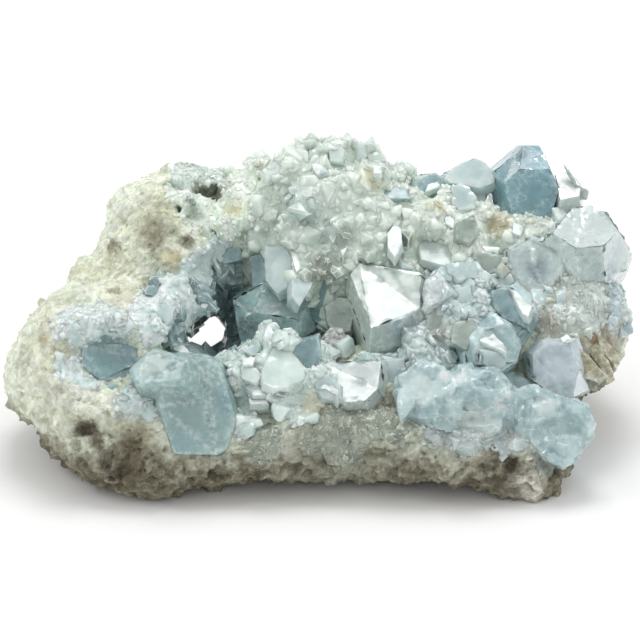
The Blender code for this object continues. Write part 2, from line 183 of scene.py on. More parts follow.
def startMaterial(name):
    material = bpy.data.materials.new(name)
    material.use_nodes = True
    tree = material.node_tree
    tree.nodes.clear()
    shader = tree.nodes.new("ShaderNodeBsdfPrincipled")
    output = tree.nodes.new("ShaderNodeOutputMaterial")
    tree.links.new(shader.outputs[0], output.inputs[0])
    place = tree.nodes.new("ShaderNodeTexCoord").outputs["Object"]
    return material, tree, shader, place


def wire(tree, shader, **inputs):
    for name, value in inputs.items():
        plug(tree, shader.inputs[name.replace("_", " ")], value)


# A round patch about a point: its edge fades between two shares of its radius, and is ragged
patchShape = {"wander": 0.45, "outer": 0.9, "inner": 0.25}


def patchOf(tree, place, centre, radius, ragged):
    away = addNode(tree, "ShaderNodeVectorMath", {"operation": "DISTANCE"}, i0=place,
                   i1=tuple(centre)).outputs["Value"]
    wander = noiseOf(tree, place, radius * patchShape["wander"], 4.0, 0.65)
    reach = addNode(tree, "ShaderNodeMath", {"operation": "MULTIPLY_ADD"}, i0=wander,
                    i1=-2 * ragged * radius * mm, i2=away).outputs[0]
    return between(tree, reach, radius * mm * (patchShape["outer"] - ragged),
                   radius * mm * (patchShape["inner"] - ragged))


# Patches over a base colour: (pixel of the photograph, radius in mm, colour, how strongly it shows)
def patched(tree, place, base, patches, ragged):
    for pixel, radius, tint, strength in patches:
        mask = sums(tree, "MULTIPLY", patchOf(tree, place, seenPoint(pixel), radius, ragged), strength)
        base = blended(tree, mask, base, tint)
    return base


def addPiece(name, mesh, materials, slotName, *replaced):
    piece = bpy.data.objects.new(name, mesh)
    bpy.context.scene.collection.objects.link(piece)
    mesh.materials.clear()
    for material in materials:
        mesh.materials.append(material)
    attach(piece, "root")
    if replaced:
        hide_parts(*replaced)
    return piece


def withModifiers(mesh, *modifiers):
    holder = bpy.data.objects.new("holder", mesh)
    bpy.context.scene.collection.objects.link(holder)
    for kind, settings in modifiers:
        modifier = holder.modifiers.new(kind.lower(), kind)
        for name, value in settings.items():
            setattr(modifier, name, value)
    bpy.context.view_layer.update()
    graph = bpy.context.evaluated_depsgraph_get()
    made = bpy.data.meshes.new_from_object(holder.evaluated_get(graph))
    bpy.data.objects.remove(holder, do_unlink=True)
    return made


def pointsOf(mesh):
    points = np.empty(len(mesh.vertices) * 3, np.float32)
    mesh.vertices.foreach_get("co", points)
    return points.reshape(-1, 3)


def normalsOf(mesh):
    normals = np.empty(len(mesh.vertices) * 3, np.float32)
    mesh.vertices.foreach_get("normal", normals)
    return normals.reshape(-1, 3)


def setPoints(mesh, points):
    mesh.vertices.foreach_set("co", np.asarray(points, np.float32).reshape(-1))
    mesh.update()


def giveValues(mesh, name, values, domain="POINT"):
    layer = mesh.attributes.new(name, "FLOAT", domain)
    layer.data.foreach_set("value", np.asarray(values, np.float32))


# The gap through which the ground behind shows and the dark slot, as pixels of the photograph. The
# gap is widened that far from its middle at most, no crystal grows within the clear share past its
# outline, and no large one within the low share.
openings = {
    "gap": ((187, 341), (189, 332), (198, 330), (201, 323), (212, 321), (222, 324), (224, 334),
            (219, 345), (219, 354), (211, 357), (206, 349), (192, 346)),
    "gapMiddle": (212, 331),
    "widest": 30,
    "clear": 0.35,
    "low": 1.1,
    "slot": ((193, 188), (207, 184), (222, 186), (220, 196), (210, 205), (194, 203)),
}


def insideOutline(pixel, outline):
    x, y = pixel
    inside = False
    for (ax, ay), (bx, by) in zip(outline, outline[1:] + outline[:1]):
        if (ay > y) != (by > y) and x < ax + (bx - ax) * (y - ay) / (by - ay):
            inside = not inside
    return inside


# How far each point is from the large crystals as a share of a limit, and the way to the nearest
def clearanceOf(points, limit):
    shares, ways = [], []
    for point in points:
        nearest, _, _, distance = largeTree.find_nearest(Vector(point), limit)
        shares.append(1.0 if nearest is None else distance / limit)
        ways.append((0, 0, 0) if nearest is None else (nearest - Vector(point)).normalized()[:])
    return np.array(shares), np.array(ways)


# Widens the gap to its outline in the photograph
def openGap(points):
    middle = Vector(openings["gapMiddle"])
    for index, point in enumerate(points):
        place = Vector(point)
        away = Vector(pixelOf(place)) - middle
        if away.length > openings["widest"] or away.length < 1e-6:
            continue
        reach = away.copy()
        while insideOutline(middle + reach, openings["gap"]):
            reach += away.normalized()
        if reach.length > away.length:
            target = middle + reach
            depth = -(towardCamera @ place).z
            ray = Vector(((target.x - half) * across, (half - target.y) * across, -1))
            points[index] = camera.matrix_world @ (ray * depth)
    return points


# Rock: broken, granular, cream above and grey-brown below. Sizes and heights are in mm.
rock = {
    "voxel": 0.96,
    "smoothing": 2,
    "wornBelow": 26.0,
    "bendSize": 3.2,
    "bend": 0.9,
    "swellSize": 13.0,
    "swellHeight": 1.2,
    "ledgeSize": 9.5,
    "ledgeHeight": 1.15,
    "chipSize": 4.2,
    "chipHeight": 0.75,
    "grainSize": 1.9,
    "grainHeight": 0.5,
    "creviceDepth": 0.6,
    "flakeDepth": 1.1,
    "highest": 1.6,
    "calmNear": 1.4,
    "closing": 0.6,
    "drawnIn": 1.3,
    "cream": colour(238, 245, 226),
    "white": colour(250, 252, 248),
    "beige": colour(216, 218, 192),
    "grey": colour(162, 160, 140),
    "under": colour(124, 118, 97),
    # The colour of the rock's dirt specks, also used as painted shade in its crevices
    "dirtAndShade": colour(84, 74, 54),
}
rockPatches = {
    "pocketBlue": ((85, 318), 10.0, colour(196, 214, 216), 0.9),
    "pocketInside": ((108, 345), 10.0, colour(132, 160, 166), 0.9),
    "pocketBelow": ((100, 372), 8.0, colour(206, 216, 212), 0.7),
    "kneeWhite": ((70, 385), 11.0, colour(230, 232, 224), 0.7),
    "kneeGrey": ((130, 398), 8.0, colour(196, 200, 196), 0.8),
    "knobBrown": ((45, 336), 4.5, colour(176, 166, 124), 0.7),
    "knobPale": ((62, 322), 9.0, colour(244, 248, 240), 0.7),
    "knobGrey": ((55, 392), 5.0, colour(168, 168, 152), 0.6),
    "leftPit": ((86, 428), 5.0, colour(72, 60, 40), 0.95),
    "leftPitSmall": ((98, 441), 3.6, colour(84, 72, 50), 0.9),
    "leftStain": ((135, 440), 9.0, colour(128, 118, 92), 0.7),
    "lowLeftPits": ((130, 465), 12.0, colour(94, 86, 66), 0.75),
    "humpDirt": ((152, 236), 8.0, colour(142, 136, 112), 0.75),
    "humpSpots": ((188, 241), 3.5, colour(96, 86, 62), 0.8),
    "humpCrack": ((112, 246), 3.0, colour(120, 112, 88), 0.8),
    "humpWhite": ((120, 290), 11.0, colour(226, 226, 206), 0.7),
    "innerRim": ((172, 258), 5.0, colour(214, 200, 160), 0.7),
    "slotBlue": ((205, 172), 9.0, colour(192, 210, 202), 0.85),
    # Painted shade: the slot's wall and its inside are darkened where the slot lies in shadow
    "slotWallShade": ((193, 200), 4.5, colour(124, 138, 130), 0.85),
    "slotInsideShade": ((209, 195), 7.0, colour(78, 84, 70), 0.95),
    "endMilky": ((600, 290), 12.0, colour(190, 200, 200), 0.9),
    "endPale": ((560, 318), 10.0, colour(196, 196, 187), 0.9),
    "endSoft": ((575, 298), 9.0, colour(202, 205, 198), 0.9),
    "endBeige": ((598, 330), 12.0, colour(196, 190, 170), 0.8),
    "endNeutral": ((605, 345), 13.0, colour(178, 174, 160), 0.85),
    "endFibres": ((602, 350), 6.5, colour(146, 136, 114), 0.8),
    "endFibresLow": ((613, 366), 5.0, colour(138, 132, 114), 0.8),
    "endPaleEdge": ((586, 350), 3.5, colour(214, 212, 200), 0.8),
    "endStain": ((592, 334), 3.6, colour(136, 108, 66), 0.9),
    "endStainLow": ((598, 345), 3.6, colour(122, 96, 56), 0.9),
    "endBrown": ((607, 356), 4.0, colour(122, 108, 82), 0.85),
    "endOlive": ((590, 360), 4.0, colour(150, 148, 96), 0.85),
    "endGrey": ((586, 392), 5.0, colour(150, 148, 140), 0.85),
    "backYellow": ((530, 205), 10.0, colour(214, 204, 172), 0.8),
    "backBlue": ((470, 200), 12.0, colour(192, 208, 204), 0.8),
    "lowPatch": ((480, 464), 7.0, colour(214, 214, 194), 0.85),
    "lowFissure": ((512, 466), 4.5, colour(56, 48, 32), 1.0),
    "lowFissureTop": ((498, 450), 3.6, colour(74, 66, 46), 0.95),
    "lowFissureEnd": ((522, 478), 3.6, colour(64, 54, 36), 0.95),
    "footGrey": ((528, 488), 9.0, colour(232, 230, 218), 0.9),
    "footBlue": ((560, 455), 10.0, colour(150, 170, 174), 0.9),
    "lowMiddle": ((330, 474), 14.0, colour(160, 158, 140), 0.5),
    "bandUnder": ((335, 432), 30.0, colour(176, 178, 160), 0.85),
    "middleDark": ((440, 440), 7.0, colour(146, 146, 130), 0.7),
    "middleBrown": ((388, 402), 9.0, colour(116, 116, 100), 0.9),
    "bandBlue": ((460, 420), 13.0, colour(176, 192, 192), 0.85),
    "bandWhite": ((270, 425), 13.0, colour(206, 212, 200), 0.8),
    "bandGreen": ((350, 420), 11.0, colour(136, 145, 131), 0.9),
    "bandRight": ((520, 430), 10.0, colour(190, 196, 190), 0.85),
}


# A surface of tilted chips: the height at a point, and how deep in a crevice between chips it is
def chipHeightAt(point, size, seed):
    spots, middles = noise.voronoi(point / size + seed)
    turn = noise.cell_vector(middles[0] * 17.3) - Vector((0.5, 0.5, 0.5))
    tilt = (point / size + seed - middles[0]).dot(turn) * 2.2
    crevice = max(0.0, 1 - (spots[1] - spots[0]) / 0.2)
    return tilt + (turn.x + turn.y) * 0.6, crevice


# A flake is missing from some of the cells
def flakeGoneAt(point, size, seed, share):
    middle = noise.voronoi(point / size + seed)[1][0]
    return noise.cell(middle * 31.7) * 0.5 + 0.5 < share


# Low down the rock is more broken, and its crevices are deeper
def rockHeightAt(point, look):
    low = min(1.0, max(0.0, 1.2 - point.z / look["wornBelow"]))
    bent = point + look["bend"] * noise.noise_vector(point / look["bendSize"])
    ledge, ledgeGap = chipHeightAt(bent, look["ledgeSize"], Vector((5, 1, 8)))
    chip, chipGap = chipHeightAt(bent, look["chipSize"], Vector((3, 7, 1)))
    grain, grainGap = chipHeightAt(point, look["grainSize"], Vector((9, 2, 5)))
    height = look["swellHeight"] * noise.noise(point / look["swellSize"])
    height += look["ledgeHeight"] * ledge
    height += look["chipHeight"] * chip * (0.8 + 0.5 * low)
    height += look["grainHeight"] * grain * (0.8 + 0.6 * low)
    gap = max(chipGap * (0.2 + 0.6 * low), 0.4 * grainGap * low, 0.5 * ledgeGap)
    height -= look["creviceDepth"] * gap
    if flakeGoneAt(bent, look["chipSize"], Vector((3, 7, 1)), 0.06 + 0.16 * low):
        height -= look["flakeDepth"]
        gap = max(gap, 0.25 + 0.35 * low)
    return min(height, look["highest"]), gap


# The rock calms down next to a large crystal, and is drawn in to it
def roughRock(mesh, look):
    mesh = withModifiers(mesh, ("REMESH", {"mode": "VOXEL", "voxel_size": look["voxel"] * mm}),
                         ("SMOOTH", {"factor": 0.5, "iterations": look["smoothing"]}))
    points, normals = pointsOf(mesh), normalsOf(mesh)
    calm, ways = clearanceOf(points, look["calmNear"] * mm)
    heights, crevices = [], []
    for point, ease in zip(points / mm, calm):
        height, gap = rockHeightAt(Vector(point), look)
        heights.append(height * ease + look["closing"] * (1 - ease))
        crevices.append(gap * ease)
    drawn = ways * look["drawnIn"] * (1 - calm)[:, None]
    moved = openGap(points + (normals * np.array(heights)[:, None] + drawn) * mm)
    moved[:, 2] = np.maximum(moved[:, 2], 0.0)
    setPoints(mesh, moved)
    giveValues(mesh, "crevice", crevices)
    return mesh


def rockMaterial(look, patches):
    material, tree, shader, place = startMaterial("granularRock")
    broad = noiseOf(tree, place, 16, 4, 0.6)
    fine = noiseOf(tree, place, 2.4, 5, 0.7)
    speck = noiseOf(tree, place, 0.8, 3, 0.6)
    height = addNode(tree, "ShaderNodeSeparateXYZ", Vector=place).outputs["Z"]
    wander = sums(tree, "MULTIPLY", noiseOf(tree, place, 9, 4, 0.65), -0.026)
    low = between(tree, sums(tree, "ADD", height, wander), 0.012, -0.006)
    base = blended(tree, between(tree, broad, 0.42, 0.7), look["cream"], look["beige"])
    base = blended(tree, between(tree, fine, 0.5, 0.7), base, look["white"])
    lowBase = blended(tree, between(tree, fine, 0.4, 0.62), look["under"], look["grey"])
    base = blended(tree, low, base, lowBase)
    base = patched(tree, place, base, patches.values(), 0.5)
    grains = addNode(tree, "ShaderNodeTexVoronoi", Vector=place, Scale=1 / (1.1 * mm)).outputs["Color"]
    grainTone = addNode(tree, "ShaderNodeSeparateXYZ", Vector=grains).outputs["X"]
    lumps = addNode(tree, "ShaderNodeTexVoronoi", Vector=place, Scale=1 / (3.4 * mm)).outputs["Color"]
    lumpTone = addNode(tree, "ShaderNodeSeparateXYZ", Vector=lumps).outputs["X"]
    base = blended(tree, 1.0, base, between(tree, grainTone, 0.0, 1.0, (0.84, 1.1)), "MULTIPLY")
    base = blended(tree, 1.0, base, between(tree, lumpTone, 0.0, 1.0, (0.88, 1.08)), "MULTIPLY")
    dirtAndShade = sums(tree, "MULTIPLY", between(tree, speck, 0.58, 0.74), between(tree, low, 0.0, 1.0, (0.2, 0.75)))
    base = blended(tree, dirtAndShade, base, look["dirtAndShade"])
    # Painted shade: the crevices are darkened towards the dirt colour, more so low down
    crevice = addNode(tree, "ShaderNodeAttribute", {"attribute_name": "crevice"}).outputs["Fac"]
    shadow = sums(tree, "MULTIPLY", between(tree, crevice, 0.1, 0.95),
                  between(tree, low, 0.0, 1.0, (0.25, 0.8)))
    base = blended(tree, shadow, base, look["dirtAndShade"])
    gloss = between(tree, grainTone, 0.84, 0.92, (0.85, 0.25))
    bump = bumped(tree, fine, 0.9, 0.9)
    bump = bumped(tree, grainTone, 0.4, 0.8, bump)
    wire(tree, shader, Base_Color=base, Roughness=gloss, Normal=bump)
    return material


print("rock")
rockMesh = roughRock(frame["nodes"]["matrix"].data.copy(), rock)
addPiece("rock_body", rockMesh, [rockMaterial(rock, rockPatches)], "matrix_rock", "matrix")
print("  triangles", 2 * len(rockMesh.polygons))


# Small crystals: celestine's cell, and forms as (index, distance) of each face from the middle
cell = (8.36, 5.35, 6.87)
forms = {
    "block": (((0, 0, 1), 0.72), ((2, 1, 0), 0.8), ((0, 1, 1), 0.86)),
    "chisel": (((0, 0, 1), 0.98), ((2, 1, 0), 0.72), ((1, 0, 2), 0.88)),
    "point": (((0, 0, 1), 1.05), ((2, 1, 0), 0.66), ((0, 1, 1), 0.82), ((1, 0, 1), 0.92)),
    "plate": (((0, 0, 1), 0.42), ((2, 1, 0), 0.92), ((1, 0, 2), 0.86), ((0, 1, 1), 0.98)),
}
# How uneven the distances are, how far below its middle a crystal is cut off, and its worn edges
patternShape = {"uneven": (0.86, 1.14), "foot": 0.22, "chamfer": 0.045}


def formNormals(index):
    found = set()
    for x in (1, -1):
        for y in (1, -1):
            for z in (1, -1):
                h, k, l = (i / length for i, length in zip(index, cell))
                found.add((round(h * x, 9) + 0.0, round(k * y, 9) + 0.0, round(l * z, 9) + 0.0))
    return sorted(found)


def solidFromPlanes(planes, size):
    bm = bmesh.new()
    bmesh.ops.create_cube(bm, size=size)
    for point, normal in planes:
        everything = bm.verts[:] + bm.edges[:] + bm.faces[:]
        cut = bmesh.ops.bisect_plane(
            bm, geom=everything, dist=size * 1e-6, plane_co=point, plane_no=normal, clear_outer=True)
        edges = [e for e in cut["geom_cut"] if isinstance(e, bmesh.types.BMEdge)]
        if edges:
            bmesh.ops.contextual_create(bm, geom=edges)
    bmesh.ops.remove_doubles(bm, verts=bm.verts[:], dist=size * 1e-4)
    bmesh.ops.recalc_face_normals(bm, faces=bm.faces[:])
    return bm


# A crystal one unit across, without its buried end, as (points, faces, which faces are worn edges)
def crystalPattern(form, draw):
    planes = []
    for index, distance in forms[form]:
        for normal in formNormals(index):
            normal = Vector(normal).normalized()
            if normal.z > -0.5:
                planes.append((normal * distance * draw.uniform(*patternShape["uneven"]) / 2, normal))
    planes.append((Vector((0, 0, -patternShape["foot"])), Vector((0, 0, -1))))
    bm = solidFromPlanes(planes, 4.0)
    bmesh.ops.bevel(bm, geom=bm.edges[:], offset=patternShape["chamfer"], segments=1, affect="EDGES",
                    clamp_overlap=True)
    bmesh.ops.remove_doubles(bm, verts=bm.verts[:], dist=0.004)
    points = np.array([v.co[:] for v in bm.verts])
    faces = [[v.index for v in f.verts] for f in bm.faces]
    worn = [0.0 if max(f.normal.dot(cut[1]) for cut in planes) > 0.9995 else 1.0 for f in bm.faces]
    bm.free()
    return points, faces, worn


# Copies of patterns in one mesh: each place is (pattern, turn, stretch, middle, tone)
def joinedMesh(name, patterns, places):
    points, corners, starts, totals, tones, edges = [], [], [], [], [], []
    first, corner = 0, 0
    flat = [(p, np.concatenate([np.array(f) for f in faces]), np.array([len(f) for f in faces]), worn)
            for p, faces, worn in patterns]
    for pattern, turn, stretch, middle, tone in places:
        shape, loops, lengths, worn = flat[pattern]
        edges.append(worn)
        points.append((shape * stretch) @ np.array(turn.to_matrix()).T + np.array(middle))
        corners.append(loops + first)
        starts.append(corner + np.concatenate([[0], np.cumsum(lengths)[:-1]]))
        totals.append(lengths)
        tones.append(np.full(len(shape), tone))
        first += len(shape)
        corner += len(loops)
    points, corners = np.concatenate(points), np.concatenate(corners)
    starts, totals = np.concatenate(starts), np.concatenate(totals)
    mesh = bpy.data.meshes.new(name)
    mesh.vertices.add(len(points))
    mesh.vertices.foreach_set("co", points.astype(np.float32).reshape(-1))
    mesh.loops.add(len(corners))
    mesh.loops.foreach_set("vertex_index", corners.astype(np.int32))
    mesh.polygons.add(len(starts))
    mesh.polygons.foreach_set("loop_start", starts.astype(np.int32))
    mesh.polygons.foreach_set("loop_total", totals.astype(np.int32))
    mesh.update(calc_edges=True)
    giveValues(mesh, "tone", np.concatenate(tones))
    giveValues(mesh, "edge", np.concatenate(edges), "FACE")
    return mesh


# A crystal's finish. "light" and "deep" are the tints that it varies between, "clear" and "rough" the
# least and most of what goes straight through it and of its roughness, "glow" and "reach" how much
# light spreads inside it and how far in mm, "absorb" and "depth" the tint that it gives to light that
# goes through, and "edges" how white its worn edges are. What a crystal leaves out is as here.
plainFinish = {
    "cloudSize": 6.0, "patches": (), "grain": (0.97, 1.02), "dimples": 0.12, "edges": (0.0, 0.5),
    "glow": 0.8, "reach": 2.0, "refraction": 1.62, "ragged": 0.3, "wornWhite": colour(252, 255, 254),
}


def crystalMaterial(name, look):
    look = {**plainFinish, **look}
    material, tree, shader, place = startMaterial(name)
    tone = addNode(tree, "ShaderNodeAttribute", {"attribute_name": "tone"}).outputs["Fac"]
    broad = noiseOf(tree, place, look["cloudSize"], 2, 0.5)
    fine = noiseOf(tree, place, 1.3, 4, 0.65)
    mixed = blended(tree, 0.5, tone, between(tree, broad, 0.3, 0.7))
    base = blended(tree, mixed, look["light"], look["deep"])
    base = patched(tree, place, base, look["patches"], look["ragged"])
    grain = between(tree, fine, 0.3, 0.7, look["grain"])
    base = blended(tree, 1.0, base, grain, "MULTIPLY")
    # Painted glints: tiny white specks stand in for light sparkling off small facets
    if "paintedGlints" in look:
        paintedGlint = between(tree, noiseOf(tree, place, 0.6, 2, 0.6), 0.64, 0.69, (0.0, look["paintedGlints"]))
        base = blended(tree, paintedGlint, base, colour(255, 255, 255))
    # Veils: thin white curved lines, partly the crystal's own milky fractures and partly painted highlights
    if "veilsAndHighlights" in look:
        size, strength = look["veilsAndHighlights"]
        offCentre = sums(tree, "SUBTRACT", noiseOf(tree, place, size, 2, 0.5, 0.6), 0.5)
        line = sums(tree, "ABSOLUTE", offCentre, 0)
        veilAndHighlight = sums(tree, "MULTIPLY", between(tree, line, 0.022, 0.0),
                    between(tree, noiseOf(tree, place, size * 0.6, 2, 0.5), 0.45, 0.62, (0.0, strength)))
        base = blended(tree, veilAndHighlight, base, colour(236, 250, 249))
    clear = between(tree, mixed, 0.0, 1.0, look["clear"])
    gloss = between(tree, noiseOf(tree, place, 3.0, 2, 0.5), 0.35, 0.65, look["rough"])
    bump = bumped(tree, noiseOf(tree, place, 1.6, 2, 0.5), 0.1, look["dimples"])
    if "stripes" in look:
        way, size, strength = look["stripes"]
        turn = Vector(way).normalized().to_track_quat("X", "Z").inverted().to_euler()
        lined = addNode(tree, "ShaderNodeMapping", Vector=place, Rotation=tuple(turn), Scale=(0.06, 1, 1))
        lines = noiseOf(tree, lined.outputs[0], size, 2, 0.5)
        bump = bumped(tree, lines, 0.2, strength, bump)
        base = blended(tree, between(tree, lines, 0.52, 0.68, (0.0, 0.35)), base, look["deep"])
    edge = addNode(tree, "ShaderNodeAttribute", {"attribute_name": "edge"}).outputs["Fac"]
    worn = sums(tree, "MULTIPLY", edge, between(tree, fine, 0.4, 0.65, look["edges"]))
    base = blended(tree, worn, base, look["wornWhite"])
    wire(tree, shader, Base_Color=base, Roughness=gloss, Normal=bump, Transmission_Weight=clear,
         IOR=look["refraction"], Subsurface_Weight=look["glow"], Subsurface_Scale=look["reach"] * mm,
         Subsurface_Radius=(1.0, 1.0, 1.0))
    if "absorb" in look:
        volume = addNode(tree, "ShaderNodeVolumeAbsorption", Color=look["absorb"], Density=look["depth"])
        output = next(n for n in tree.nodes if n.type == "OUTPUT_MATERIAL")
        tree.links.new(volume.outputs[0], output.inputs["Volume"])
    return material


# How a placed crystal widens under its face: the share that it flares by at full depth (mm), how
# uneven that is, how far down its waist is, and its foot's share of its face
singleShape = {"flare": 0.16, "fullDepth": 6, "uneven": (0.94, 1.06), "waist": 0.45, "foot": 0.8}


# A crystal under a flat face: the face has the outline, and the sides widen down to its base
def singleCrystal(bm, outline, facing, depth, stand, draw):
    middle = [sum(p[i] for p in outline) / len(outline) for i in (0, 1)]
    carried = seenPoint(middle)
    normal = screenWay(*facing)
    level = carried + normal * stand * mm
    top = []
    for pixel in outline:
        ray = rayOf(pixel)
        top.append(camera.location + ray * ((level - camera.location).dot(normal) / ray.dot(normal)))
    centre = sum(top, Vector()) / len(top)
    spread = 1.0 + singleShape["flare"] * min(1.0, depth / singleShape["fullDepth"])
    waist = normal * singleShape["waist"] * depth * mm
    low = [centre + (p - centre) * spread * draw.uniform(*singleShape["uneven"]) - waist for p in top]
    base = [centre + (p - centre) * singleShape["foot"] - normal * depth * mm for p in top]
    rings = [[bm.verts.new(p) for p in ring] for ring in (top, low, base)]
    bm.faces.new(rings[0])
    bm.faces.new(rings[2])
    for upper, lower in zip(rings, rings[1:]):
        for i in range(len(upper)):
            j = (i + 1) % len(upper)
            bm.faces.new((upper[i], upper[j], lower[j], lower[i]))
    return [v for ring in rings for v in ring]


def awayFromEdges(points, edges):
    least = np.full(len(points), 1e9)
    for start, end in edges:
        line = end - start
        share = np.clip((points - start) @ line / max(line @ line, 1e-18), 0, 1)
        least = np.minimum(least, np.linalg.norm(points - start - share[:, None] * line, axis=1))
    return least


# How a crystal wears, in mm: how far in from an edge it chips, the size of its chips, nicks and waves
# and the waves' height, the length of the finest edge kept whole, and the voxels of a rounded body
wear = {"reach": 0.8, "chipSize": 2.6, "nickSize": 1.1, "waveSize": 6, "wave": 0.1, "finest": 1.2,
        "voxel": 0.62}


def chippedAt(place):
    chip = max(0.0, noise.noise(place / wear["chipSize"]) - 0.12)
    return chip + 0.5 * max(0.0, noise.noise(place / wear["nickSize"]) - 0.2)


# A crystal with worn edges, chips and slightly wavy faces, or one rounded body with its lobes
def wornCrystal(mesh, look):
    bm = bmesh.new()
    bm.from_mesh(mesh)
    draw = random.Random("lobes")
    for lobe in look.get("lobes", {}).values():
        singleCrystal(bm, *lobe, draw)
    bmesh.ops.recalc_face_normals(bm, faces=bm.faces[:])
    bmesh.ops.dissolve_limit(bm, angle_limit=math.radians(1), verts=bm.verts[:], edges=bm.edges[:])
    edges = [(np.array(e.verts[0].co), np.array(e.verts[1].co)) for e in bm.edges]
    if "rounded" not in look:
        bmesh.ops.bevel(bm, geom=bm.edges[:], offset=look["cut"] * mm, segments=2, profile=0.5,
                        affect="EDGES", clamp_overlap=True)
        bmesh.ops.triangulate(bm, faces=bm.faces[:])
        for _ in range(6):
            long = [e for e in bm.edges if e.calc_length() > look.get("finest", wear["finest"]) * mm]
            if not long:
                break
            bmesh.ops.subdivide_edges(bm, edges=long, cuts=1)
            bmesh.ops.triangulate(bm, faces=bm.faces[:])
    worn = bpy.data.meshes.new("worn")
    bm.to_mesh(worn)
    bm.free()
    if "rounded" in look:
        worn = withModifiers(worn, ("REMESH", {"mode": "VOXEL", "voxel_size": wear["voxel"] * mm}),
                             ("SMOOTH", {"factor": 0.6, "iterations": look["rounded"]}))
    points, normals = pointsOf(worn), normalsOf(worn)
    near = np.exp(-awayFromEdges(points, edges) / (wear["reach"] * mm))
    heights = []
    for point, share in zip(points / mm, near):
        place = Vector(point)
        height = look.get("wave", wear["wave"]) * noise.noise(place / wear["waveSize"])
        height -= look["chip"] * 2.2 * chippedAt(place) * share
        if "facets" in look:
            size, relief = look["facets"]
            height += relief * chipHeightAt(place, size, Vector((6, 3, 2)))[0]
        heights.append(height)
    setPoints(worn, points + normals * np.array(heights)[:, None] * mm)
    giveValues(worn, "edge", near)
    if "tone" not in worn.attributes:
        giveValues(worn, "tone", np.full(len(points), 0.5))
    worn.shade_smooth()
    worn.set_sharp_from_angle(angle=math.radians(35 if "rounded" in look else 14))
    return worn


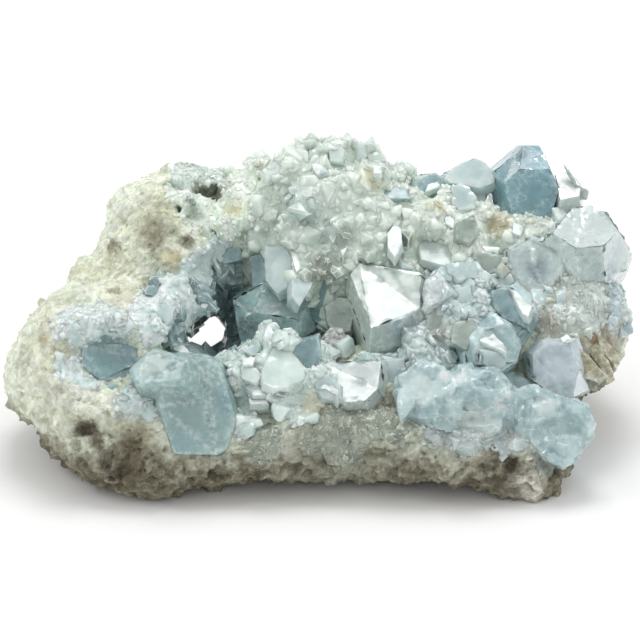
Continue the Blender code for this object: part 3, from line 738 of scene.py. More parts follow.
# Single crystals placed by their outline in the photograph, by finish: (outline, the way the face
# looks as right, up and near, depth in mm, how far it stands out in mm). A bright face mirrors the
# overhead light.
bright = (0.0, 0.62, 0.78)
singleWear = {"cut": 0.14, "chip": 0.5, "finest": 1.7}
singles = {
    "ice": {
        "look": {
            "light": colour(222, 233, 229), "deep": colour(192, 208, 206), "clear": (0.0, 0.2),
            "rough": (0.1, 0.26), "stripes": ((0.6, 0, -0.8), 0.9, 0.6), "facets": (2.6, 0.12),
        },
        "crystals": {
            "underDome": (((289, 247), (295, 246), (301, 268), (296, 272), (292, 258)), bright, 5, 2.6),
            "rimLeft": (((211, 256), (214, 255), (221, 269), (217, 268)), bright, 4, 2.0),
            "domeRight": (((387, 233), (395, 223), (401, 229), (402, 243), (395, 257), (388, 247)),
                          bright, 6, 2.5),
            "domeLow": (((340, 250), (347, 247), (343, 257)), bright, 3, 2.5),
            "domeHigh": (((312, 165), (327, 164), (328, 172), (318, 176), (313, 170)), bright, 5, 2.4),
            "domeEdge": (((373, 165), (382, 166), (382, 173), (374, 173)), bright, 4, 2.4),
            "domeTop": (((345, 165), (355, 167), (354, 171), (347, 170)), bright, 4, 2.4),
            "domeMiddle": (((283, 196), (291, 193), (292, 197), (285, 200)), bright, 3, 2.4),
            "backPoint": (((428, 184), (437, 181), (441, 186), (425, 192)), bright, 5, 2.2),
            "backSmall": (((445, 217), (448, 214), (457, 222), (453, 228), (445, 223)), bright, 4, 2.2),
            "backLow": (((513, 222), (524, 226), (521, 236), (512, 232)), bright, 4, 1.8),
            "centreBack": (((418, 243), (424, 240), (459, 248), (455, 262), (447, 266), (421, 259)),
                           bright, 6, 1.6),
            "backLine": (((480, 245), (500, 247), (498, 254), (480, 249)), bright, 5, 2.0),
            "rightSliver": (((508, 288), (513, 288), (532, 307), (528, 316), (522, 313)), bright, 6, 2.6),
            "rightSmall": (((460, 307), (468, 310), (467, 315), (462, 312)), bright, 3, 2.0),
            "striated": (((476, 333), (484, 324), (506, 346), (505, 352), (480, 341)), bright, 5, 0.7),
            "pinkLine": (((425, 332), (429, 332), (438, 343), (433, 343)), bright, 3, 2.0),
            "ridgeSpark": (((530, 383), (538, 384), (533, 389)), bright, 3, 1.2),
            "druseLeft": (((228, 352), (237, 353), (243, 358), (230, 361)), bright, 4, 2.0),
            "druseTop": (((242, 358), (255, 357), (253, 365), (243, 365)), bright, 4, 2.4),
            "druseLow": (((245, 387), (252, 383), (263, 387), (267, 395), (253, 395)), bright, 5, 2.2),
            "druseFoot": (((248, 397), (263, 396), (268, 403), (250, 404)), bright, 5, 2.2),
            "frontCurve": (((317, 388), (328, 380), (338, 390), (338, 398), (326, 389)), bright, 6, 1.8),
            "blockStripe": (((172, 343), (183, 345), (193, 353), (192, 358), (174, 349)), bright, 4, 0.8),
            "kneeSpark": (((108, 405), (115, 405), (116, 413), (111, 414)), bright, 3, 0.8),
            "endStar": (((560, 338), (567, 334), (573, 340), (567, 346)), bright, 4, 1.4),
            "flakeFoot": (((552, 208), (562, 207), (570, 217), (558, 220)), bright, 5, 2.0),
        },
    },
    "iceSpark": {
        "look": {
            "light": colour(240, 246, 246), "deep": colour(180, 202, 206), "clear": (0.1, 0.4),
            "rough": (0.04, 0.2), "dimples": 1.0, "grain": (0.75, 1.1), "facets": (2.4, 0.3),
        },
        "crystals": {
            "clearRound": (
                ((428, 277), (437, 272), (445, 280), (448, 292), (440, 303), (428, 305), (425, 288)),
                (0.2, 0.4, 0.9), 6, 2.2,
            ),
        },
    },
    "paleBlue": {
        "look": {
            "light": colour(236, 247, 245), "deep": colour(200, 223, 223), "clear": (0.1, 0.3),
            "rough": (0.03, 0.12), "facets": (5.0, 0.2),
        },
        "crystals": {
            "domeFootBig": (((265, 247), (283, 245), (292, 257), (292, 285), (277, 294), (265, 280)),
                            (-0.2, 0.2, 0.95), 9, 2.6),
            "domeFootRight": (((292, 278), (315, 280), (310, 290), (300, 307), (292, 297)),
                              (0.25, 0.35, 0.9), 8, 2.4),
            "spiky": (((156, 312), (165, 303), (175, 307), (173, 318), (165, 327)),
                      (0.1, 0.4, 0.9), 6, 2.6),
            "backGroup": (
                ((445, 178), (452, 169), (463, 162), (475, 158), (485, 162), (493, 170), (495, 182),
                 (480, 188), (452, 183)),
                (0.0, 0.35, 0.93), 9, 1.5,
            ),
            "backRound": (
                ((452, 188), (460, 183), (470, 187), (477, 197), (475, 208), (460, 210), (452, 203)),
                (-0.1, 0.45, 0.9), 8, 2.8,
            ),
            "rightHigh": (((447, 263), (475, 262), (478, 277), (458, 280), (448, 273)),
                          (0.1, 0.5, 0.85), 8, 2.2),
            "rightMiddle": (((448, 290), (470, 285), (473, 303), (460, 310), (450, 302)),
                            (-0.2, 0.3, 0.9), 8, 2.0),
            "underStriated": (((480, 350), (503, 353), (507, 365), (497, 371), (483, 364)),
                              (0.1, -0.1, 1.0), 8, 1.6),
            "marginBump": (((619, 322), (630, 323), (630, 335), (622, 338)), (0.4, 0.2, 0.9), 6, 1.0),
            "frontClear": (((380, 360), (405, 358), (405, 375), (392, 383), (380, 384)),
                           (0.1, 0.1, 1.0), 8, 1.6),
            "druseShoulder": (((242, 350), (258, 340), (263, 348), (253, 356)), (0.0, 0.4, 0.9), 6, 2.4),
            "druseSmall": (((288, 372), (300, 366), (307, 376), (296, 388)), (0.4, 0.3, 0.86), 6, 2.0),
            "frontCup": (((310, 377), (328, 374), (340, 384), (340, 398), (322, 398)),
                         (-0.1, 0.3, 0.95), 7, 1.2),
        },
    },
    "palePlate": {
        "look": {
            "light": colour(238, 252, 246), "deep": colour(218, 238, 230), "clear": (0.05, 0.25),
            "rough": (0.03, 0.12), "facets": (4.0, 0.15),
        },
        "crystals": {
            "drusePlate": (
                ((262, 370), (273, 347), (287, 347), (307, 368), (307, 377), (288, 387), (273, 388),
                 (263, 383)),
                (0.05, 0.5, 0.86), 9, 3.0,
            ),
            "drusePlateLeft": (((240, 366), (256, 366), (262, 376), (255, 383), (242, 378)),
                               (-0.2, 0.4, 0.9), 6, 2.4),
            "domeBubbleA": (((288, 155), (299, 148), (308, 151), (308, 162), (294, 166)),
                            (0, 0.3, 0.95), 7, 1.4),
            "domeBubbleB": (((308, 149), (320, 144), (328, 150), (326, 162), (310, 161)),
                            (0, 0.3, 0.95), 7, 1.4),
            "domeBubbleC": (((329, 146), (340, 143), (345, 150), (343, 162), (330, 161)),
                            (0, 0.3, 0.95), 7, 1.4),
            "domeBubbleD": (((346, 144), (362, 141), (368, 150), (365, 163), (348, 160)),
                            (0, 0.3, 0.95), 7, 1.4),
            "domeBubbleE": (((367, 152), (377, 150), (383, 158), (379, 168), (368, 166)),
                            (0.2, 0.3, 0.93), 6, 1.4),
            "domeBubbleF": (((262, 170), (272, 160), (283, 163), (282, 176), (268, 180)),
                            (0, 0.3, 0.95), 7, 1.4),
        },
    },
    "slate": {
        "look": {
            "light": colour(178, 206, 210), "deep": colour(136, 168, 175), "clear": (0.1, 0.4),
            "rough": (0.03, 0.12), "facets": (5.0, 0.2),
        },
        "crystals": {
            "underCavity": (((313, 282), (330, 280), (327, 307), (325, 330), (308, 316), (305, 300)),
                            (-0.3, -0.1, 0.95), 8, 1.0),
            "behindDruse": (((287, 345), (318, 336), (321, 358), (312, 371), (300, 363)),
                            (0.0, 0.0, 1.0), 8, 2.0),
            "leftWall": (((218, 247), (240, 247), (243, 259), (223, 264)), (0.1, 0.1, 0.99), 7, 2.0),
            "leftWallLow": (((217, 270), (229, 263), (231, 280), (220, 286)), (0.3, 0.1, 0.95), 6, 1.5),
            "hollowRim": (((250, 257), (263, 253), (267, 272), (264, 290), (253, 290)),
                          (-0.3, 0.1, 0.95), 7, 1.8),
            "slab": (((378, 187), (409, 188), (411, 199), (389, 198), (380, 195)),
                     (0.0, 0.6, 0.8), 6, 1.8),
            "backPointBody": (((417, 192), (423, 176), (435, 172), (444, 178), (443, 187), (428, 192)),
                              (-0.1, 0.3, 0.95), 8, 1.2),
            "rightTeal": (
                ((490, 290), (507, 288), (523, 313), (533, 315), (527, 328), (503, 318), (493, 307)),
                (-0.2, 0.2, 0.96), 9, 1.6,
            ),
            "kneeTeal": (((98, 390), (107, 383), (118, 384), (117, 398), (103, 399)),
                         (0.1, 0.1, 0.99), 6, 0.8),
        },
    },
    "smoke": {
        "look": {
            "light": colour(196, 208, 199), "deep": colour(156, 173, 165), "clear": (0.1, 0.3),
            "rough": (0.04, 0.14), "facets": (4.5, 0.2),
        },
        "crystals": {
            "pointed": (
                ((325, 307), (337, 297), (348, 298), (354, 315), (350, 331), (337, 336), (327, 323)),
                (-0.1, 0.15, 0.98), 8, 1.8,
            ),
            "backBlock": (((473, 252), (503, 255), (500, 270), (480, 276), (472, 263)),
                          (0.1, 0.2, 0.97), 7, 1.8),
            "backBeside": (((457, 222), (474, 214), (480, 230), (470, 242), (456, 238)),
                           (0.1, 0.3, 0.95), 7, 1.8),
            "rightLow": (((432, 308), (450, 312), (452, 330), (438, 338), (426, 326)),
                         (0.0, 0.2, 0.98), 7, 1.8),
            "rightWest": (((455, 322), (474, 318), (478, 338), (466, 350), (452, 342)),
                          (0.0, 0.2, 0.98), 7, 1.6),
            "blade": (((565, 165), (578, 183), (589, 191), (587, 198), (579, 199), (575, 185)),
                      (0.3, 0.2, 0.93), 1.6, 0.3),
        },
    },
    "fibrous": {
        "look": {
            "light": colour(206, 205, 180), "deep": colour(130, 124, 94), "clear": (0.0, 0.1),
            "rough": (0.25, 0.5), "stripes": ((0.55, -0.2, -0.8), 0.6, 0.9), "cloudSize": 2.5,
            "grain": (0.8, 1.06), "facets": (2.4, 0.3),
            "patches": (((595, 334), 3.0, colour(132, 102, 60), 0.95),
                        ((588, 364), 3.5, colour(150, 150, 102), 0.85),
                        ((600, 352), 1.8, colour(104, 94, 74), 0.85),
                        ((590, 384), 3.5, colour(126, 126, 120), 0.85),
                        ((580, 342), 2.5, colour(210, 205, 192), 0.8)),
        },
        "crystals": {
            "ridge": (((576, 331), (586, 326), (596, 340), (615, 373), (607, 377), (588, 350)),
                      (0.1, 0.35, 0.93), 8, 1.4),
            "outer": (((594, 327), (602, 335), (622, 357), (617, 370), (600, 346)),
                      (0.5, 0.3, 0.8), 8, 1.2),
            "lower": (((568, 350), (577, 345), (588, 355), (605, 375), (597, 381), (580, 376)),
                      (-0.1, 0.1, 0.99), 8, 0.8),
            "root": (((580, 375), (598, 380), (597, 392), (584, 388)), (0.1, -0.2, 0.97), 7, 0.6),
        },
    },
    "speckled": {
        "look": {
            "light": colour(240, 243, 242), "deep": colour(84, 84, 88), "clear": (0.1, 0.3),
            "rough": (0.04, 0.15), "cloudSize": 0.9, "grain": (0.5, 1.15), "dimples": 1.0,
        },
        "crystals": {
            "inclusions": (((322, 338), (330, 327), (343, 328), (350, 345), (348, 358), (327, 358)),
                           (0.0, 0.3, 0.95), 7, 1.8),
        },
    },
}


# Every pixel inside any of the outlines
def pixelsInside(outlines):
    found = set()
    for outline in outlines:
        for x in range(int(min(p[0] for p in outline)), int(max(p[0] for p in outline)) + 2):
            for y in range(int(min(p[1] for p in outline)), int(max(p[1] for p in outline)) + 2):
                if insideOutline((x, y), outline):
                    found.add((x, y))
    return found


def singlesMesh(name, crystals):
    draw = random.Random(name)
    bm = bmesh.new()
    layer = bm.verts.layers.float.new("tone")
    for outline, facing, depth, stand in crystals.values():
        tone = draw.random()
        for vertex in singleCrystal(bm, outline, facing, depth, stand, draw):
            vertex[layer] = tone
    bmesh.ops.recalc_face_normals(bm, faces=bm.faces[:])
    mesh = bpy.data.meshes.new(name)
    bm.to_mesh(mesh)
    bm.free()
    return mesh


print("single crystals")
for finish, kind in singles.items():
    look = {**singleWear, **kind["look"]}
    mesh = wornCrystal(singlesMesh(finish, kind["crystals"]), look)
    addPiece("singles_" + finish, mesh, [crystalMaterial("single_" + finish, look)], "clear_crystal")
    print("  ", finish, len(kind["crystals"]))


def widerGap(share):
    middleX, middleY = openings["gapMiddle"]
    return tuple((x + share * (x - middleX), y + share * (y - middleY)) for x, y in openings["gap"])


# Pixels that the druse leaves to the single crystals, leaves open, and leaves to its small crystals
keptForSingles = pixelsInside([c[0] for kind in singles.values() for c in kind["crystals"].values()])
keptOpen = pixelsInside([openings["slot"], widerGap(openings["clear"])])
keptLow = pixelsInside([widerGap(openings["low"])])


# Druse, by zone. A zone grows on lumps of the crust, (middle, half sizes) in mm, and on spots,
# (pixel, radius in mm). "sizes" are its crystals' least and most in mm, "even" is higher for more
# small ones, "lean" is how far they tilt, "sink" how deep they sit, "skinShare" how full the skin
# between them is, and the rest is their finish.
druse = {
    "dome": {
        "lumps": (((2.2, 24.6, 47), (24, 23, 30)), ((-2.8, 13.6, 38), (16, 12, 17))), "sizes": (2.8, 7.5),
        "even": 0.9, "lean": 0.3, "forms": ("block", "point", "chisel"), "light": colour(236, 248, 237),
        "deep": colour(212, 228, 215), "clear": (0, 0.2), "rough": (0.02, 0.12),
        "patches": (((370, 182), 7.0, colour(222, 220, 186), 0.8),
                    ((262, 172), 5.0, colour(218, 216, 184), 0.7),
                    ((300, 205), 9.0, colour(186, 206, 204), 0.6),
                    # The next two patches are painted shade: a shadowed hollow and a shadowed cavity in the
                    # dome
                    ((275, 215), 5.0, colour(150, 168, 158), 0.7),
                    ((345, 236), 5.0, colour(146, 152, 136), 0.8),
                    ((324, 268), 8.0, colour(142, 152, 138), 0.9),
                    ((404, 241), 4.5, colour(96, 108, 98), 0.9),
                    ((330, 235), 9.0, colour(188, 206, 202), 0.5)),
    },
    "leftRim": {
        "lumps": (((-36.8, 17.6, 50), (14, 12, 13)),),
        "spots": (((236, 178), 8), ((228, 205), 10), ((176, 193), 5), ((189, 208), 5), ((202, 215), 5)),
        "sizes": (1.4, 3.8), "skinShare": 1.0, "even": 1.6, "lean": 0.45,
        "forms": ("block", "plate", "point"), "light": colour(246, 255, 242),
        "deep": colour(222, 242, 220), "clear": (0, 0.12), "rough": (0.04, 0.2),
        "patches": (((235, 215), 6.0, colour(226, 220, 186), 0.7),
                    # The next two patches are painted shade on the slot's wall
                    ((193, 199), 4.0, colour(128, 142, 134), 0.85),
                    ((196, 213), 3.5, colour(146, 160, 150), 0.8)),
    },
    "hollow": {
        "lumps": (((-32, 2, 32), (16, 22, 18)),), "sizes": (2.6, 6.0), "even": 1.2, "lean": 0.3,
        "forms": ("block", "chisel"), "light": colour(190, 212, 212), "deep": colour(140, 168, 172),
        "clear": (0.1, 0.4), "rough": (0.02, 0.12),
    },
    "front": {
        "lumps": (((-11, -25, 23), (19, 13, 17)),),
        "spots": (((308, 409), 6.5), ((245, 425), 6), ((240, 402), 6)), "sizes": (1.6, 5.4), "even": 1.5,
        "lean": 0.45, "forms": ("block", "plate", "chisel"), "light": colour(236, 251, 245),
        "deep": colour(208, 230, 222), "clear": (0, 0.2), "rough": (0.03, 0.16),
        "patches": (((315, 405), 6.0, colour(232, 230, 204), 0.8),
                    # Painted shadow: a dark patch where a cavity in the front lies in shade
                    ((278, 393), 3.5, colour(134, 150, 146), 0.9)),
    },
    "rightBack": {
        "lumps": (((35, 22, 40), (26, 19, 22)),),
        "spots": (((425, 205), 13), ((455, 228), 13), ((500, 212), 14), ((535, 212), 13),
                  ((520, 232), 9)),
        "sizes": (1.5, 5.6), "even": 1.6, "lean": 0.4, "forms": ("block", "point", "chisel"),
        "light": colour(245, 255, 243), "deep": colour(220, 240, 221), "clear": (0, 0.2),
        "rough": (0.02, 0.14),
        "patches": (((438, 200), 6.0, colour(204, 196, 152), 0.7),
                    ((500, 225), 6.0, colour(196, 182, 146), 0.8),
                    ((520, 205), 6.0, colour(224, 216, 184), 0.8),
                    ((470, 200), 8.0, colour(198, 214, 208), 0.7),
                    ((404, 241), 4.5, colour(96, 108, 98), 0.9)),
    },
    "rightSlope": {
        "lumps": (((40, -8, 30), (30, 20, 20)),), "spots": (((440, 345), 8), ((545, 300), 7)),
        "sizes": (2.0, 7.0), "skinShare": 0.84, "even": 1.3, "lean": 0.4,
        "forms": ("block", "chisel", "plate"), "light": colour(232, 247, 244),
        "deep": colour(196, 220, 219), "clear": (0.1, 0.3), "rough": (0.02, 0.12),
        "patches": (((440, 330), 6.0, colour(176, 168, 160), 0.7),
                    ((395, 330), 8.0, colour(150, 166, 158), 0.7),
                    ((505, 265), 6.0, colour(204, 200, 180), 0.7),
                    ((460, 355), 7.0, colour(164, 184, 182), 0.6)),
    },
    "rightEnd": {
        "lumps": (((62, 6, 34), (20, 20, 19)),),
        "spots": (((572, 285), 9), ((590, 300), 10), ((560, 330), 8), ((548, 320), 7)),
        "sizes": (1.2, 3.6), "sink": 0.3, "even": 1.8, "lean": 0.5, "forms": ("block", "plate"),
        "light": colour(218, 229, 222), "deep": colour(186, 200, 193), "clear": (0, 0.15),
        "edges": (0.0, 0.4), "rough": (0.05, 0.2),
        "patches": (((548, 325), 6.0, colour(190, 184, 170), 0.8),),
    },
    "pocket": {
        "lumps": (((-57, -17, 38), (14, 12, 10)),),
        "spots": (((88, 316), 10), ((115, 318), 8), ((85, 372), 7), ((68, 368), 5), ((130, 398), 6),
                  ((146, 408), 5)),
        "sizes": (1.3, 3.8), "sink": 0.32, "even": 1.5, "lean": 0.45, "forms": ("block", "plate"),
        "light": colour(238, 253, 249), "deep": colour(216, 240, 237), "clear": (0, 0.2),
        "rough": (0.04, 0.18),
    },
    "innerEdge": {
        "lumps": (),
        "spots": (((160, 300), 8), ((180, 288), 8), ((198, 272), 7), ((150, 322), 6), ((188, 308), 7),
                  ((140, 312), 5), ((216, 248), 5), ((208, 257), 5)),
        "sizes": (1.4, 4.4), "skinShare": 1.0, "sink": 0.25, "even": 1.3, "lean": 0.4,
        "forms": ("point", "chisel", "block"), "light": colour(244, 255, 252),
        "deep": colour(218, 241, 237), "clear": (0, 0.2), "rough": (0.03, 0.16),
    },
    "slotRim": {
        "lumps": (), "spots": (((205, 172), 8), ((222, 178), 8), ((188, 178), 6), ((195, 190), 5)),
        "sizes": (1.4, 4.2), "sink": 0.3, "even": 1.3, "lean": 0.35, "forms": ("point", "plate"),
        "light": colour(240, 253, 244), "deep": colour(214, 235, 225), "clear": (0, 0.2),
        # Painted shade: the patch darkens the slot's wall
        "rough": (0.03, 0.16), "patches": (((192, 198), 4.0, colour(128, 142, 134), 0.85),),
    },
    "frontBand": {
        "lumps": (),
        "spots": (((262, 440), 7), ((330, 430), 9), ((365, 415), 8), ((398, 425), 6), ((350, 450), 6)),
        "sizes": (1.1, 3.4), "sink": 0.3, "even": 1.8, "lean": 0.6, "forms": ("block", "plate"),
        "light": colour(182, 190, 174), "deep": colour(138, 147, 133), "clear": (0, 0.15),
        "edges": (0.0, 0.4), "rough": (0.05, 0.25),
    },
    "underMass": {
        "lumps": (), "spots": (((440, 425), 7), ((470, 428), 8), ((505, 428), 8), ((530, 430), 6)),
        "sizes": (1.4, 4.4), "sink": 0.35, "even": 1.6, "lean": 0.5, "forms": ("block", "plate"),
        "light": colour(206, 218, 216), "deep": colour(170, 188, 186), "clear": (0, 0.2),
        "edges": (0.0, 0.4), "rough": (0.04, 0.18),
    },
    "margin": {
        "lumps": (), "spots": (((618, 250), 8), ((622, 285), 8), ((618, 312), 7)), "sizes": (1.6, 4.6),
        "sink": 0.3, "even": 1.4, "lean": 0.4, "forms": ("block", "plate"),
        "light": colour(220, 235, 238), "deep": colour(184, 206, 212), "clear": (0, 0.2),
        "edges": (0.0, 0.4), "rough": (0.04, 0.18),
    },
}

# What the zones share. The "pitch" of the grid that neighbours are looked up in, and the other lengths
# are in mm. A crystal over "tall" keeps off the gap's surroundings, one over "noticed" keeps off the
# large crystals' faces, and none grows deeper than "buried" in a large crystal. Within the "sure" share
# of a spot's radius every place is the spot's.
scatter = {
    "crustTries": 90000, "rockTries": 160000, "seed": 5, "pitch": 7.5, "spacing": 0.33, "patterns": 3,
    "width": (0.85, 1.2), "height": (1.3, 2.0), "sink": 0.2, "tall": 2.0, "noticed": 1.6,
    "beforeSingles": 4.0, "behindLarge": 2.0, "skim": 0.4, "buried": 0.5, "sure": 0.6, "voxel": 0.95,
    "skinSoft": 2, "skinShare": 0.95,
}
# The druse's finish paints white glints over its crystals
druseFinish = {"reach": 1.2, "edges": (0.45, 1.0), "paintedGlints": 0.8}
crust = {"voxel": 1.4, "smoothing": 5, "calmNear": 1.5, "chipSize": 2.6, "chipHeight": 0.35,
         "creviceDepth": 0.4, "sunk": 0.2, "closing": 0.3, "drawnIn": 1.0, "toneSize": 2.0}


# The zone whose lump a point is deepest in
def lumpZoneAt(point):
    def depth(name):
        return min((sum(((p / mm - m) / r) ** 2 for p, m, r in zip(point, middle, radii))
                    for middle, radii in druse[name]["lumps"]), default=1e9)
    return min(druse, key=depth)


spotPlaces = {name: [(seenPoint(pixel), radius * mm) for pixel, radius in look.get("spots", ())]
              for name, look in druse.items()}


# The zone whose spot a point is in, if any: near a spot's edge only by chance
def spotZoneAt(point, chance=1.0):
    best, found = 1.0, None
    for name, spots in spotPlaces.items():
        for middle, radius in spots:
            share = (point - middle).length / radius
            if share < best:
                best, found = share, name
    return found if found and chance > (best - scatter["sure"]) / (1 - scatter["sure"]) else None


# Whether a point stands in front of something else that the photograph shows there
def hidesShown(point, size):
    x, y = pixelOf(point)
    spot = (int(x + 0.5), int(y + 0.5))
    if spot in keptOpen or spot in keptLow and size > scatter["tall"]:
        return True
    ray = point - camera.location
    reach = ray.length
    seen = wholeTree.ray_cast(camera.location, ray.normalized())[3] or 1e9
    if spot in keptForSingles and seen > reach - scatter["beforeSingles"] * mm:
        return True
    found, _, _, distance = largeTree.ray_cast(camera.location, ray.normalized())
    if found is None or distance < reach - scatter["behindLarge"] * mm:
        return False
    return seen > distance - scatter["skim"] * mm and size > scatter["noticed"]


# Even random places on a mesh, and which way the surface faces there
def samplePlaces(mesh, count, draw):
    mesh.calc_loop_triangles()
    corners = np.empty(len(mesh.loop_triangles) * 3, np.int32)
    mesh.loop_triangles.foreach_get("vertices", corners)
    points, normals = pointsOf(mesh), normalsOf(mesh)
    triangles = corners.reshape(-1, 3)
    a, b, c = (points[triangles[:, i]] for i in range(3))
    areas = np.linalg.norm(np.cross(b - a, c - a), axis=1)
    chosen = draw.choice(len(triangles), count, p=areas / areas.sum())
    u, v = draw.random(count), draw.random(count)
    over = u + v > 1
    u[over], v[over] = 1 - u[over], 1 - v[over]
    places = a[chosen] + (b - a)[chosen] * u[:, None] + (c - a)[chosen] * v[:, None]
    return places, normals[triangles[chosen, 0]]


# Tries places one by one, and keeps those with room for a crystal that hides nothing
def growDruse(mesh, tries, draw, taken, grown, onRock):
    places, facing = samplePlaces(mesh, tries, np.random.default_rng(scatter["seed"]))
    pitch = scatter["pitch"] * mm
    for place, normal in zip(places, facing):
        point, normal = Vector(place), Vector(normal)
        name = spotZoneAt(point, draw.random()) or (None if onRock else lumpZoneAt(point))
        if name is None:
            continue
        look = druse[name]
        small, large = look["sizes"]
        size = small + (large - small) * draw.random() ** (look["even"] + 1)
        spot = tuple(int(c // pitch) for c in point)
        near = [other for x in (-1, 0, 1) for y in (-1, 0, 1) for z in (-1, 0, 1)
                for other in taken.get((spot[0] + x, spot[1] + y, spot[2] + z), ())]
        room = scatter["spacing"] * mm
        if any((point - other).length < room * (size + before) for other, before in near):
            continue
        tip = point + normal * size * 0.5 * mm
        if hidesShown(tip, size):
            continue
        nearest, out, _, gap = largeTree.find_nearest(tip)
        if (tip - nearest).dot(out) < 0 and gap > scatter["buried"] * mm:
            continue
        taken.setdefault(spot, []).append((point, size))
        grown[name].append((point, normal, size))


# Each crystal's pattern, turn, stretch, middle and tone
def drusePlaces(grown, look, draw, count):
    made = []
    for point, normal, size in grown:
        lean = Vector([draw.gauss(0, look["lean"]) for _ in range(3)])
        axis = (normal + lean).normalized()
        turn = axis.to_track_quat("Z", "Y") @ Quaternion((0, 0, 1), draw.uniform(0, math.tau))
        stretch = np.array([draw.uniform(*scatter[way]) for way in ("width", "width", "height")])
        middle = point - normal * size * look.get("sink", scatter["sink"]) * mm
        made.append((draw.randrange(count), turn, stretch * size * mm, middle, draw.random()))
    return made


# The skin that fills the gaps between a zone's crystals, and lets light spread between them
def drusySkin(mesh, places):
    joined = withModifiers(mesh, ("REMESH", {"mode": "VOXEL", "voxel_size": scatter["voxel"] * mm}),
                           ("SMOOTH", {"factor": 0.6, "iterations": scatter["skinSoft"]}))
    tree = KDTree(len(places))
    for index, place in enumerate(places):
        tree.insert(place[3], index)
    tree.balance()
    tones = [places[tree.find(point)[1]][4] for point in pointsOf(joined)]
    giveValues(joined, "tone", tones)
    joined.shade_smooth()
    return joined


# What the druse stands on, with each face in its zone's finish
def crustBody(mesh, look):
    mesh = withModifiers(mesh, ("REMESH", {"mode": "VOXEL", "voxel_size": look["voxel"] * mm}),
                         ("SMOOTH", {"factor": 0.6, "iterations": look["smoothing"]}))
    points, normals = pointsOf(mesh), normalsOf(mesh)
    calm, ways = clearanceOf(points, look["calmNear"] * mm)
    moved = []
    for point, normal, ease, way in zip(points, normals, calm, ways):
        chip, gap = chipHeightAt(Vector(point / mm), look["chipSize"], Vector((2, 4, 8)))
        height = look["chipHeight"] * chip - look["creviceDepth"] * gap - look["sunk"]
        height = height * ease + look["closing"] * (1 - ease)
        moved.append(point + (normal * height + way * look["drawnIn"] * (1 - ease)) * mm)
    setPoints(mesh, openGap(np.array(moved)))
    tones = [noise.cell(Vector(p / mm) / look["toneSize"]) * 0.5 + 0.5 for p in points]
    giveValues(mesh, "tone", tones)
    zones = list(druse)
    for face in mesh.polygons:
        face.material_index = zones.index(spotZoneAt(face.center) or lumpZoneAt(face.center))
    return mesh


print("druse")
drawDruse = random.Random(scatter["seed"])
druseMaterials = {name: crystalMaterial("druse_" + name, {**druseFinish, **look})
                  for name, look in druse.items()}
baseMesh = crustBody(frame["nodes"]["crystal_crust"].data.copy(), crust)
indices = [face.material_index for face in baseMesh.polygons]
addPiece("crust_body", baseMesh, druseMaterials.values(), "crystal_druse", "crystal_crust")
baseMesh.polygons.foreach_set("material_index", indices)
takenSpots, grownCrystals = {}, {name: [] for name in druse}
growDruse(baseMesh, scatter["crustTries"], drawDruse, takenSpots, grownCrystals, False)
growDruse(rockMesh, scatter["rockTries"], drawDruse, takenSpots, grownCrystals, True)
for zone, look in druse.items():
    patterns = [crystalPattern(form, drawDruse) for form in look["forms"] for _ in range(scatter["patterns"])]
    places = drusePlaces(grownCrystals[zone], look, drawDruse, len(patterns))
    mesh = joinedMesh(zone, patterns, places)
    share = look.get("skinShare", scatter["skinShare"])
    within = [(p, turn, stretch * share, middle, tone) for p, turn, stretch, middle, tone in places]
    skin = drusySkin(joinedMesh(zone + "Skin", patterns, within), places)
    mesh.calc_loop_triangles()
    print("  ", zone, len(places), "crystals,", len(mesh.loop_triangles), "triangles")
    addPiece("druse_" + zone, mesh, [druseMaterials[zone]], "crystal_druse", "crystal_crust")
    print("  ", zone, "skin", 2 * len(skin.polygons), "triangles")
    addPiece("skin_" + zone, skin, [druseMaterials[zone]], "crystal_druse", "crystal_crust")


# What the front right crystals swell into, as outlines in the photograph like those above
massLobes = {
    "left": (
        ((415, 368), (433, 360), (433, 372), (427, 383), (418, 400), (400, 413), (398, 396), (407, 380)),
        (-0.2, 0.5, 0.85), 7, 0.8,
    ),
    "middle": (((460, 395), (473, 387), (497, 390), (503, 398), (497, 413), (483, 419), (460, 413)),
               (0.0, 0.25, 0.97), 9, 1.2),
    "front": (((422, 403), (435, 395), (438, 413), (435, 421), (421, 420)), (-0.2, 0.2, 0.96), 8, 1.4),
    "teal": (((403, 421), (422, 410), (423, 420), (420, 433), (408, 436)), (-0.2, 0.0, 0.98), 8, 1.0),
    "top": (((505, 368), (528, 378), (540, 392), (520, 400), (500, 388)), (0.1, 0.5, 0.85), 9, 1.2),
    "between": (((440, 385), (470, 380), (478, 400), (462, 420), (440, 418)), (-0.1, 0.3, 0.95), 10, 0.6),
    "saddle": (((500, 385), (530, 388), (545, 405), (530, 425), (505, 420)), (0.0, 0.35, 0.93), 10, 0.5),
    "ridge": (
        ((527, 382), (540, 383), (568, 397), (586, 404), (593, 413), (590, 421), (563, 405), (538, 394)),
        (0.1, 0.6, 0.8), 8, 0.9,
    ),
    "foot": (((547, 440), (577, 436), (588, 440), (581, 457), (568, 467), (548, 460)),
             (0.3, -0.1, 0.95), 8, 0.8),
    "under": (((440, 415), (475, 418), (505, 420), (500, 436), (460, 438), (432, 430)),
              (0, -0.1, 1.0), 9, 0.3),
    "underRight": (((505, 418), (540, 420), (550, 440), (530, 448), (505, 440)), (0, -0.1, 1.0), 9, 0.3),
}

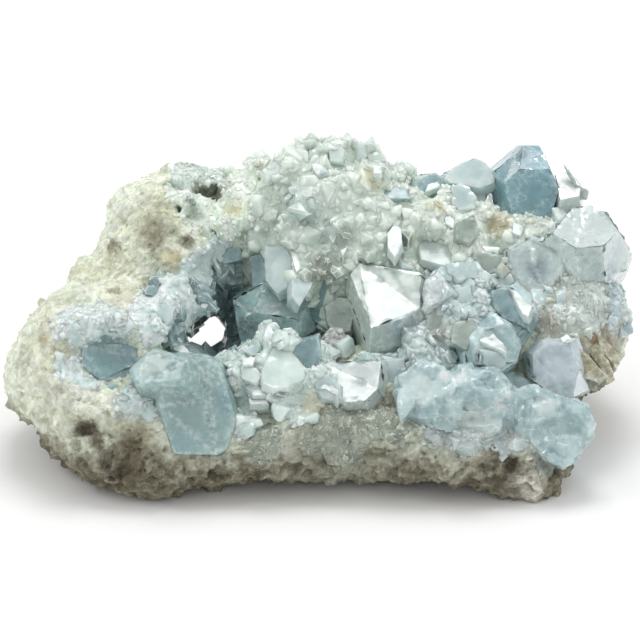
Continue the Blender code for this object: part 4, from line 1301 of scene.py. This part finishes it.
# Large crystals: their finish, "cut", how wide their edges are worn in mm, "chip", how deep these are
# chipped, "facets", the (size, relief) of steps in their faces, or "rounded", how often one is
# smoothed into a rounded body
teal = (0.25, 0.72, 0.78)
largeLooks = {
    "centre_crystal": {
        "light": colour(198, 211, 204), "deep": colour(184, 199, 193), "clear": (0.05, 0.3),
        "rough": (0.3, 0.42), "cloudSize": 3.0, "grain": (0.92, 1.04), "wave": 0.02,
        "stripes": ((1, 0.2, 0.3), 2.2, 0.12), "cut": 0.12, "chip": 0.3,
        "patches": (((425, 300), 4.0, colour(150, 180, 182), 0.8),
                    ((400, 325), 7.0, colour(168, 190, 196), 0.8)),
    },
    "centre_back_crystal": {
        "light": colour(208, 218, 213), "deep": colour(194, 206, 199), "clear": (0.05, 0.2),
        "rough": (0.12, 0.26), "cut": 0.1, "chip": 0.3,
    },
    "cavity_crystal": {
        "light": colour(184, 215, 214), "deep": colour(148, 182, 184), "clear": (0.15, 0.4),
        "veilsAndHighlights": (5.0, 0.5), "rough": (0.05, 0.16), "facets": (9.0, 0.12), "cut": 0.2, "chip": 0.6,
        "absorb": teal, "depth": 20.0,
        "patches": (((275, 308), 6.0, colour(186, 202, 202), 0.7),
                    ((245, 325), 5.0, colour(112, 142, 146), 0.7)),
    },
    "front_left_crystal": {
        "light": colour(164, 192, 189), "deep": colour(146, 175, 174), "clear": (0.05, 0.2),
        "rough": (0.1, 0.3), "cloudSize": 14.0, "rounded": 7, "chip": 0.4, "absorb": teal, "depth": 14.0,
        "reach": 4.0,
        "patches": (((155, 362), 7.0, colour(172, 192, 186), 0.85),
                    ((226, 400), 6.0, colour(132, 162, 170), 0.7),
                    ((215, 350), 6.0, colour(128, 158, 166), 0.8),
                    ((190, 440), 7.0, colour(160, 190, 194), 0.6)),
    },
    "pocket_crystal": {
        "light": colour(153, 188, 190), "deep": colour(134, 166, 171), "clear": (0.05, 0.25),
        "rough": (0.12, 0.35), "facets": (8.0, 0.15), "cut": 0.4, "chip": 0.5, "reach": 3.0,
    },
    "front_mid_crystal": {
        "light": colour(202, 213, 209), "deep": colour(184, 198, 196), "clear": (0.05, 0.2),
        "rough": (0.26, 0.4), "grain": (0.94, 1.03), "wave": 0.03, "cut": 0.1, "chip": 0.5,
        "stripes": ((1, 0, 0.2), 3.0, 0.1),
    },
    "right_front_crystals": {
        "light": colour(220, 239, 238), "deep": colour(156, 189, 194), "clear": (0.1, 0.35),
        "rough": (0.03, 0.14), "facets": (7.0, 0.85), "rounded": 3, "chip": 0.7, "absorb": teal,
        "depth": 14.0, "reach": 3.0, "lobes": massLobes, "veilsAndHighlights": (7.0, 0.9),
        # The first five patches, the near-white spots, are painted highlights of curved, broken faces
        "patches": (((446, 375), 3.0, colour(244, 254, 252), 1.0),
                    ((461, 379), 3.0, colour(244, 254, 252), 1.0),
                    ((499, 404), 3.4, colour(244, 254, 252), 0.9),
                    ((426, 399), 3.4, colour(240, 252, 250), 0.9),
                    ((560, 428), 3.4, colour(238, 250, 248), 0.7),
                    ((490, 380), 5.0, colour(150, 182, 188), 0.7),
                    ((470, 392), 6.0, colour(160, 190, 194), 0.7),
                    ((475, 425), 9.0, colour(204, 218, 214), 0.8),
                    ((560, 415), 8.0, colour(160, 190, 194), 0.6),
                    ((418, 388), 7.0, colour(226, 243, 241), 0.8),
                    ((545, 405), 5.0, colour(232, 240, 240), 0.6),
                    ((412, 425), 6.0, colour(158, 182, 184), 0.8)),
    },
    "right_centre_crystals": {
        "light": colour(210, 236, 235), "deep": colour(170, 202, 206), "clear": (0.1, 0.4),
        "veilsAndHighlights": (4.0, 0.8), "rough": (0.05, 0.18), "stripes": ((0.7, 0, -0.7), 1.4, 0.35),
        "facets": (7.0, 0.3), "cut": 0.2, "chip": 0.5, "absorb": teal, "depth": 14.0,
    },
    "right_mid_crystal": {
        "light": colour(218, 230, 236), "deep": colour(196, 213, 220), "clear": (0.1, 0.35),
        "veilsAndHighlights": (6.0, 0.5), "rough": (0.06, 0.2), "cut": 0.2, "chip": 0.4, "reach": 3.0,
    },
    "right_end_crystals": {
        "light": colour(208, 225, 222), "deep": colour(184, 203, 202), "clear": (0.1, 0.35),
        "veilsAndHighlights": (6.0, 0.7), "rough": (0.12, 0.32), "facets": (9.0, 0.3), "cut": 0.5, "chip": 0.9,
        "reach": 4.0, "stripes": ((1, 0, -0.45), 2.6, 0.25),
        "patches": (((537, 270), 5.0, colour(146, 164, 176), 0.7),
                    ((612, 272), 5.0, colour(142, 162, 174), 0.8),
                    ((595, 240), 8.0, colour(204, 216, 214), 0.6),
                    ((618, 250), 5.0, colour(172, 191, 194), 0.6)),
    },
    "back_right_crystal": {
        "light": colour(154, 194, 203), "deep": colour(134, 174, 184), "clear": (0.1, 0.35),
        "veilsAndHighlights": (6.0, 0.4), "rough": (0.05, 0.15), "cut": 0.15, "chip": 0.4, "absorb": teal,
        "depth": 10.0, "reach": 3.0,
        "patches": (((520, 152), 5.0, colour(126, 156, 166), 0.8),
                    ((512, 168), 4.0, colour(190, 208, 210), 0.6)),
    },
    "back_right_flake": {
        "light": colour(222, 230, 226), "deep": colour(206, 216, 212), "clear": (0.05, 0.25),
        "rough": (0.06, 0.2), "cut": 0.1, "chip": 0.08, "wave": 0.03,
    },
    "back_rim_crystals": {
        "light": colour(218, 236, 234), "deep": colour(186, 208, 210), "clear": (0.1, 0.4),
        "veilsAndHighlights": (5.0, 0.6), "rough": (0.05, 0.2), "facets": (6.0, 0.2), "cut": 0.2, "chip": 0.5,
    },
}
slotOf = {row["node"]: row["material_slot"] for row in frame["record"]["subparts"]}


print("large crystals")
for name in largeNames:
    look = largeLooks[name]
    mesh = wornCrystal(frame["nodes"][name].data, look)
    addPiece("worn_" + name, mesh, [crystalMaterial(name + "_glass", look)], slotOf[name], name)
    print("  ", name, len(mesh.polygons))


# Floor and light: each soft light is (place, size) in metres and how bright it is
studio = {
    "floor": colour(250, 250, 250),
    "floorSize": 8,
    "skyHigh": 0.72,
    "skyLow": 0.77,
    "aim": (0, 0, 0.03),
    "lights": {
        "overheadSoftbox": ((0, 0.16, 0.8), 0.34, 5.6),
        "leftSoftbox": ((-0.6, -0.1, 0.62), 0.26, 4.0),
        "rightSoftbox": ((0.6, 0.0, 0.6), 0.22, 4.0),
    },
}


def makeStudio(look):
    bm = bmesh.new()
    bmesh.ops.create_grid(bm, x_segments=1, y_segments=1, size=look["floorSize"])
    mesh = bpy.data.meshes.new("floor")
    bm.to_mesh(mesh)
    bm.free()
    floor = bpy.data.objects.new("floor", mesh)
    bpy.context.scene.collection.objects.link(floor)
    floor.location.z = -0.1 * mm
    material, tree, shader, _ = startMaterial("paleFloor")
    wire(tree, shader, Base_Color=look["floor"], Roughness=0.9)
    mesh.materials.append(material)
    world = bpy.data.worlds.new("studioSky")
    bpy.context.scene.world = world
    world.use_nodes = True
    tree = world.node_tree
    way = tree.nodes.new("ShaderNodeTexCoord").outputs["Generated"]
    height = addNode(tree, "ShaderNodeSeparateXYZ", Vector=way).outputs["Z"]
    strength = between(tree, height, 0.0, 0.9, (look["skyLow"], look["skyHigh"]), False)
    background = tree.nodes["Background"]
    background.inputs["Color"].default_value = (1.0, 1.0, 1.0, 1)
    tree.links.new(strength, background.inputs["Strength"])


def softLight(name, aim, place, size, radiance):
    light = bpy.data.lights.new(name, "AREA")
    light.shape = "SQUARE"
    light.size = size
    light.energy = radiance * size * size * math.pi
    lamp = bpy.data.objects.new(name, light)
    bpy.context.scene.collection.objects.link(lamp)
    lamp.location = place
    toward = Vector(aim) - Vector(place)
    lamp.rotation_euler = toward.to_track_quat("-Z", "Y").to_euler()


print("studio")
makeStudio(studio)
for name, light in studio["lights"].items():
    softLight(name, studio["aim"], *light)
bpy.context.scene.view_settings.view_transform = "Standard"
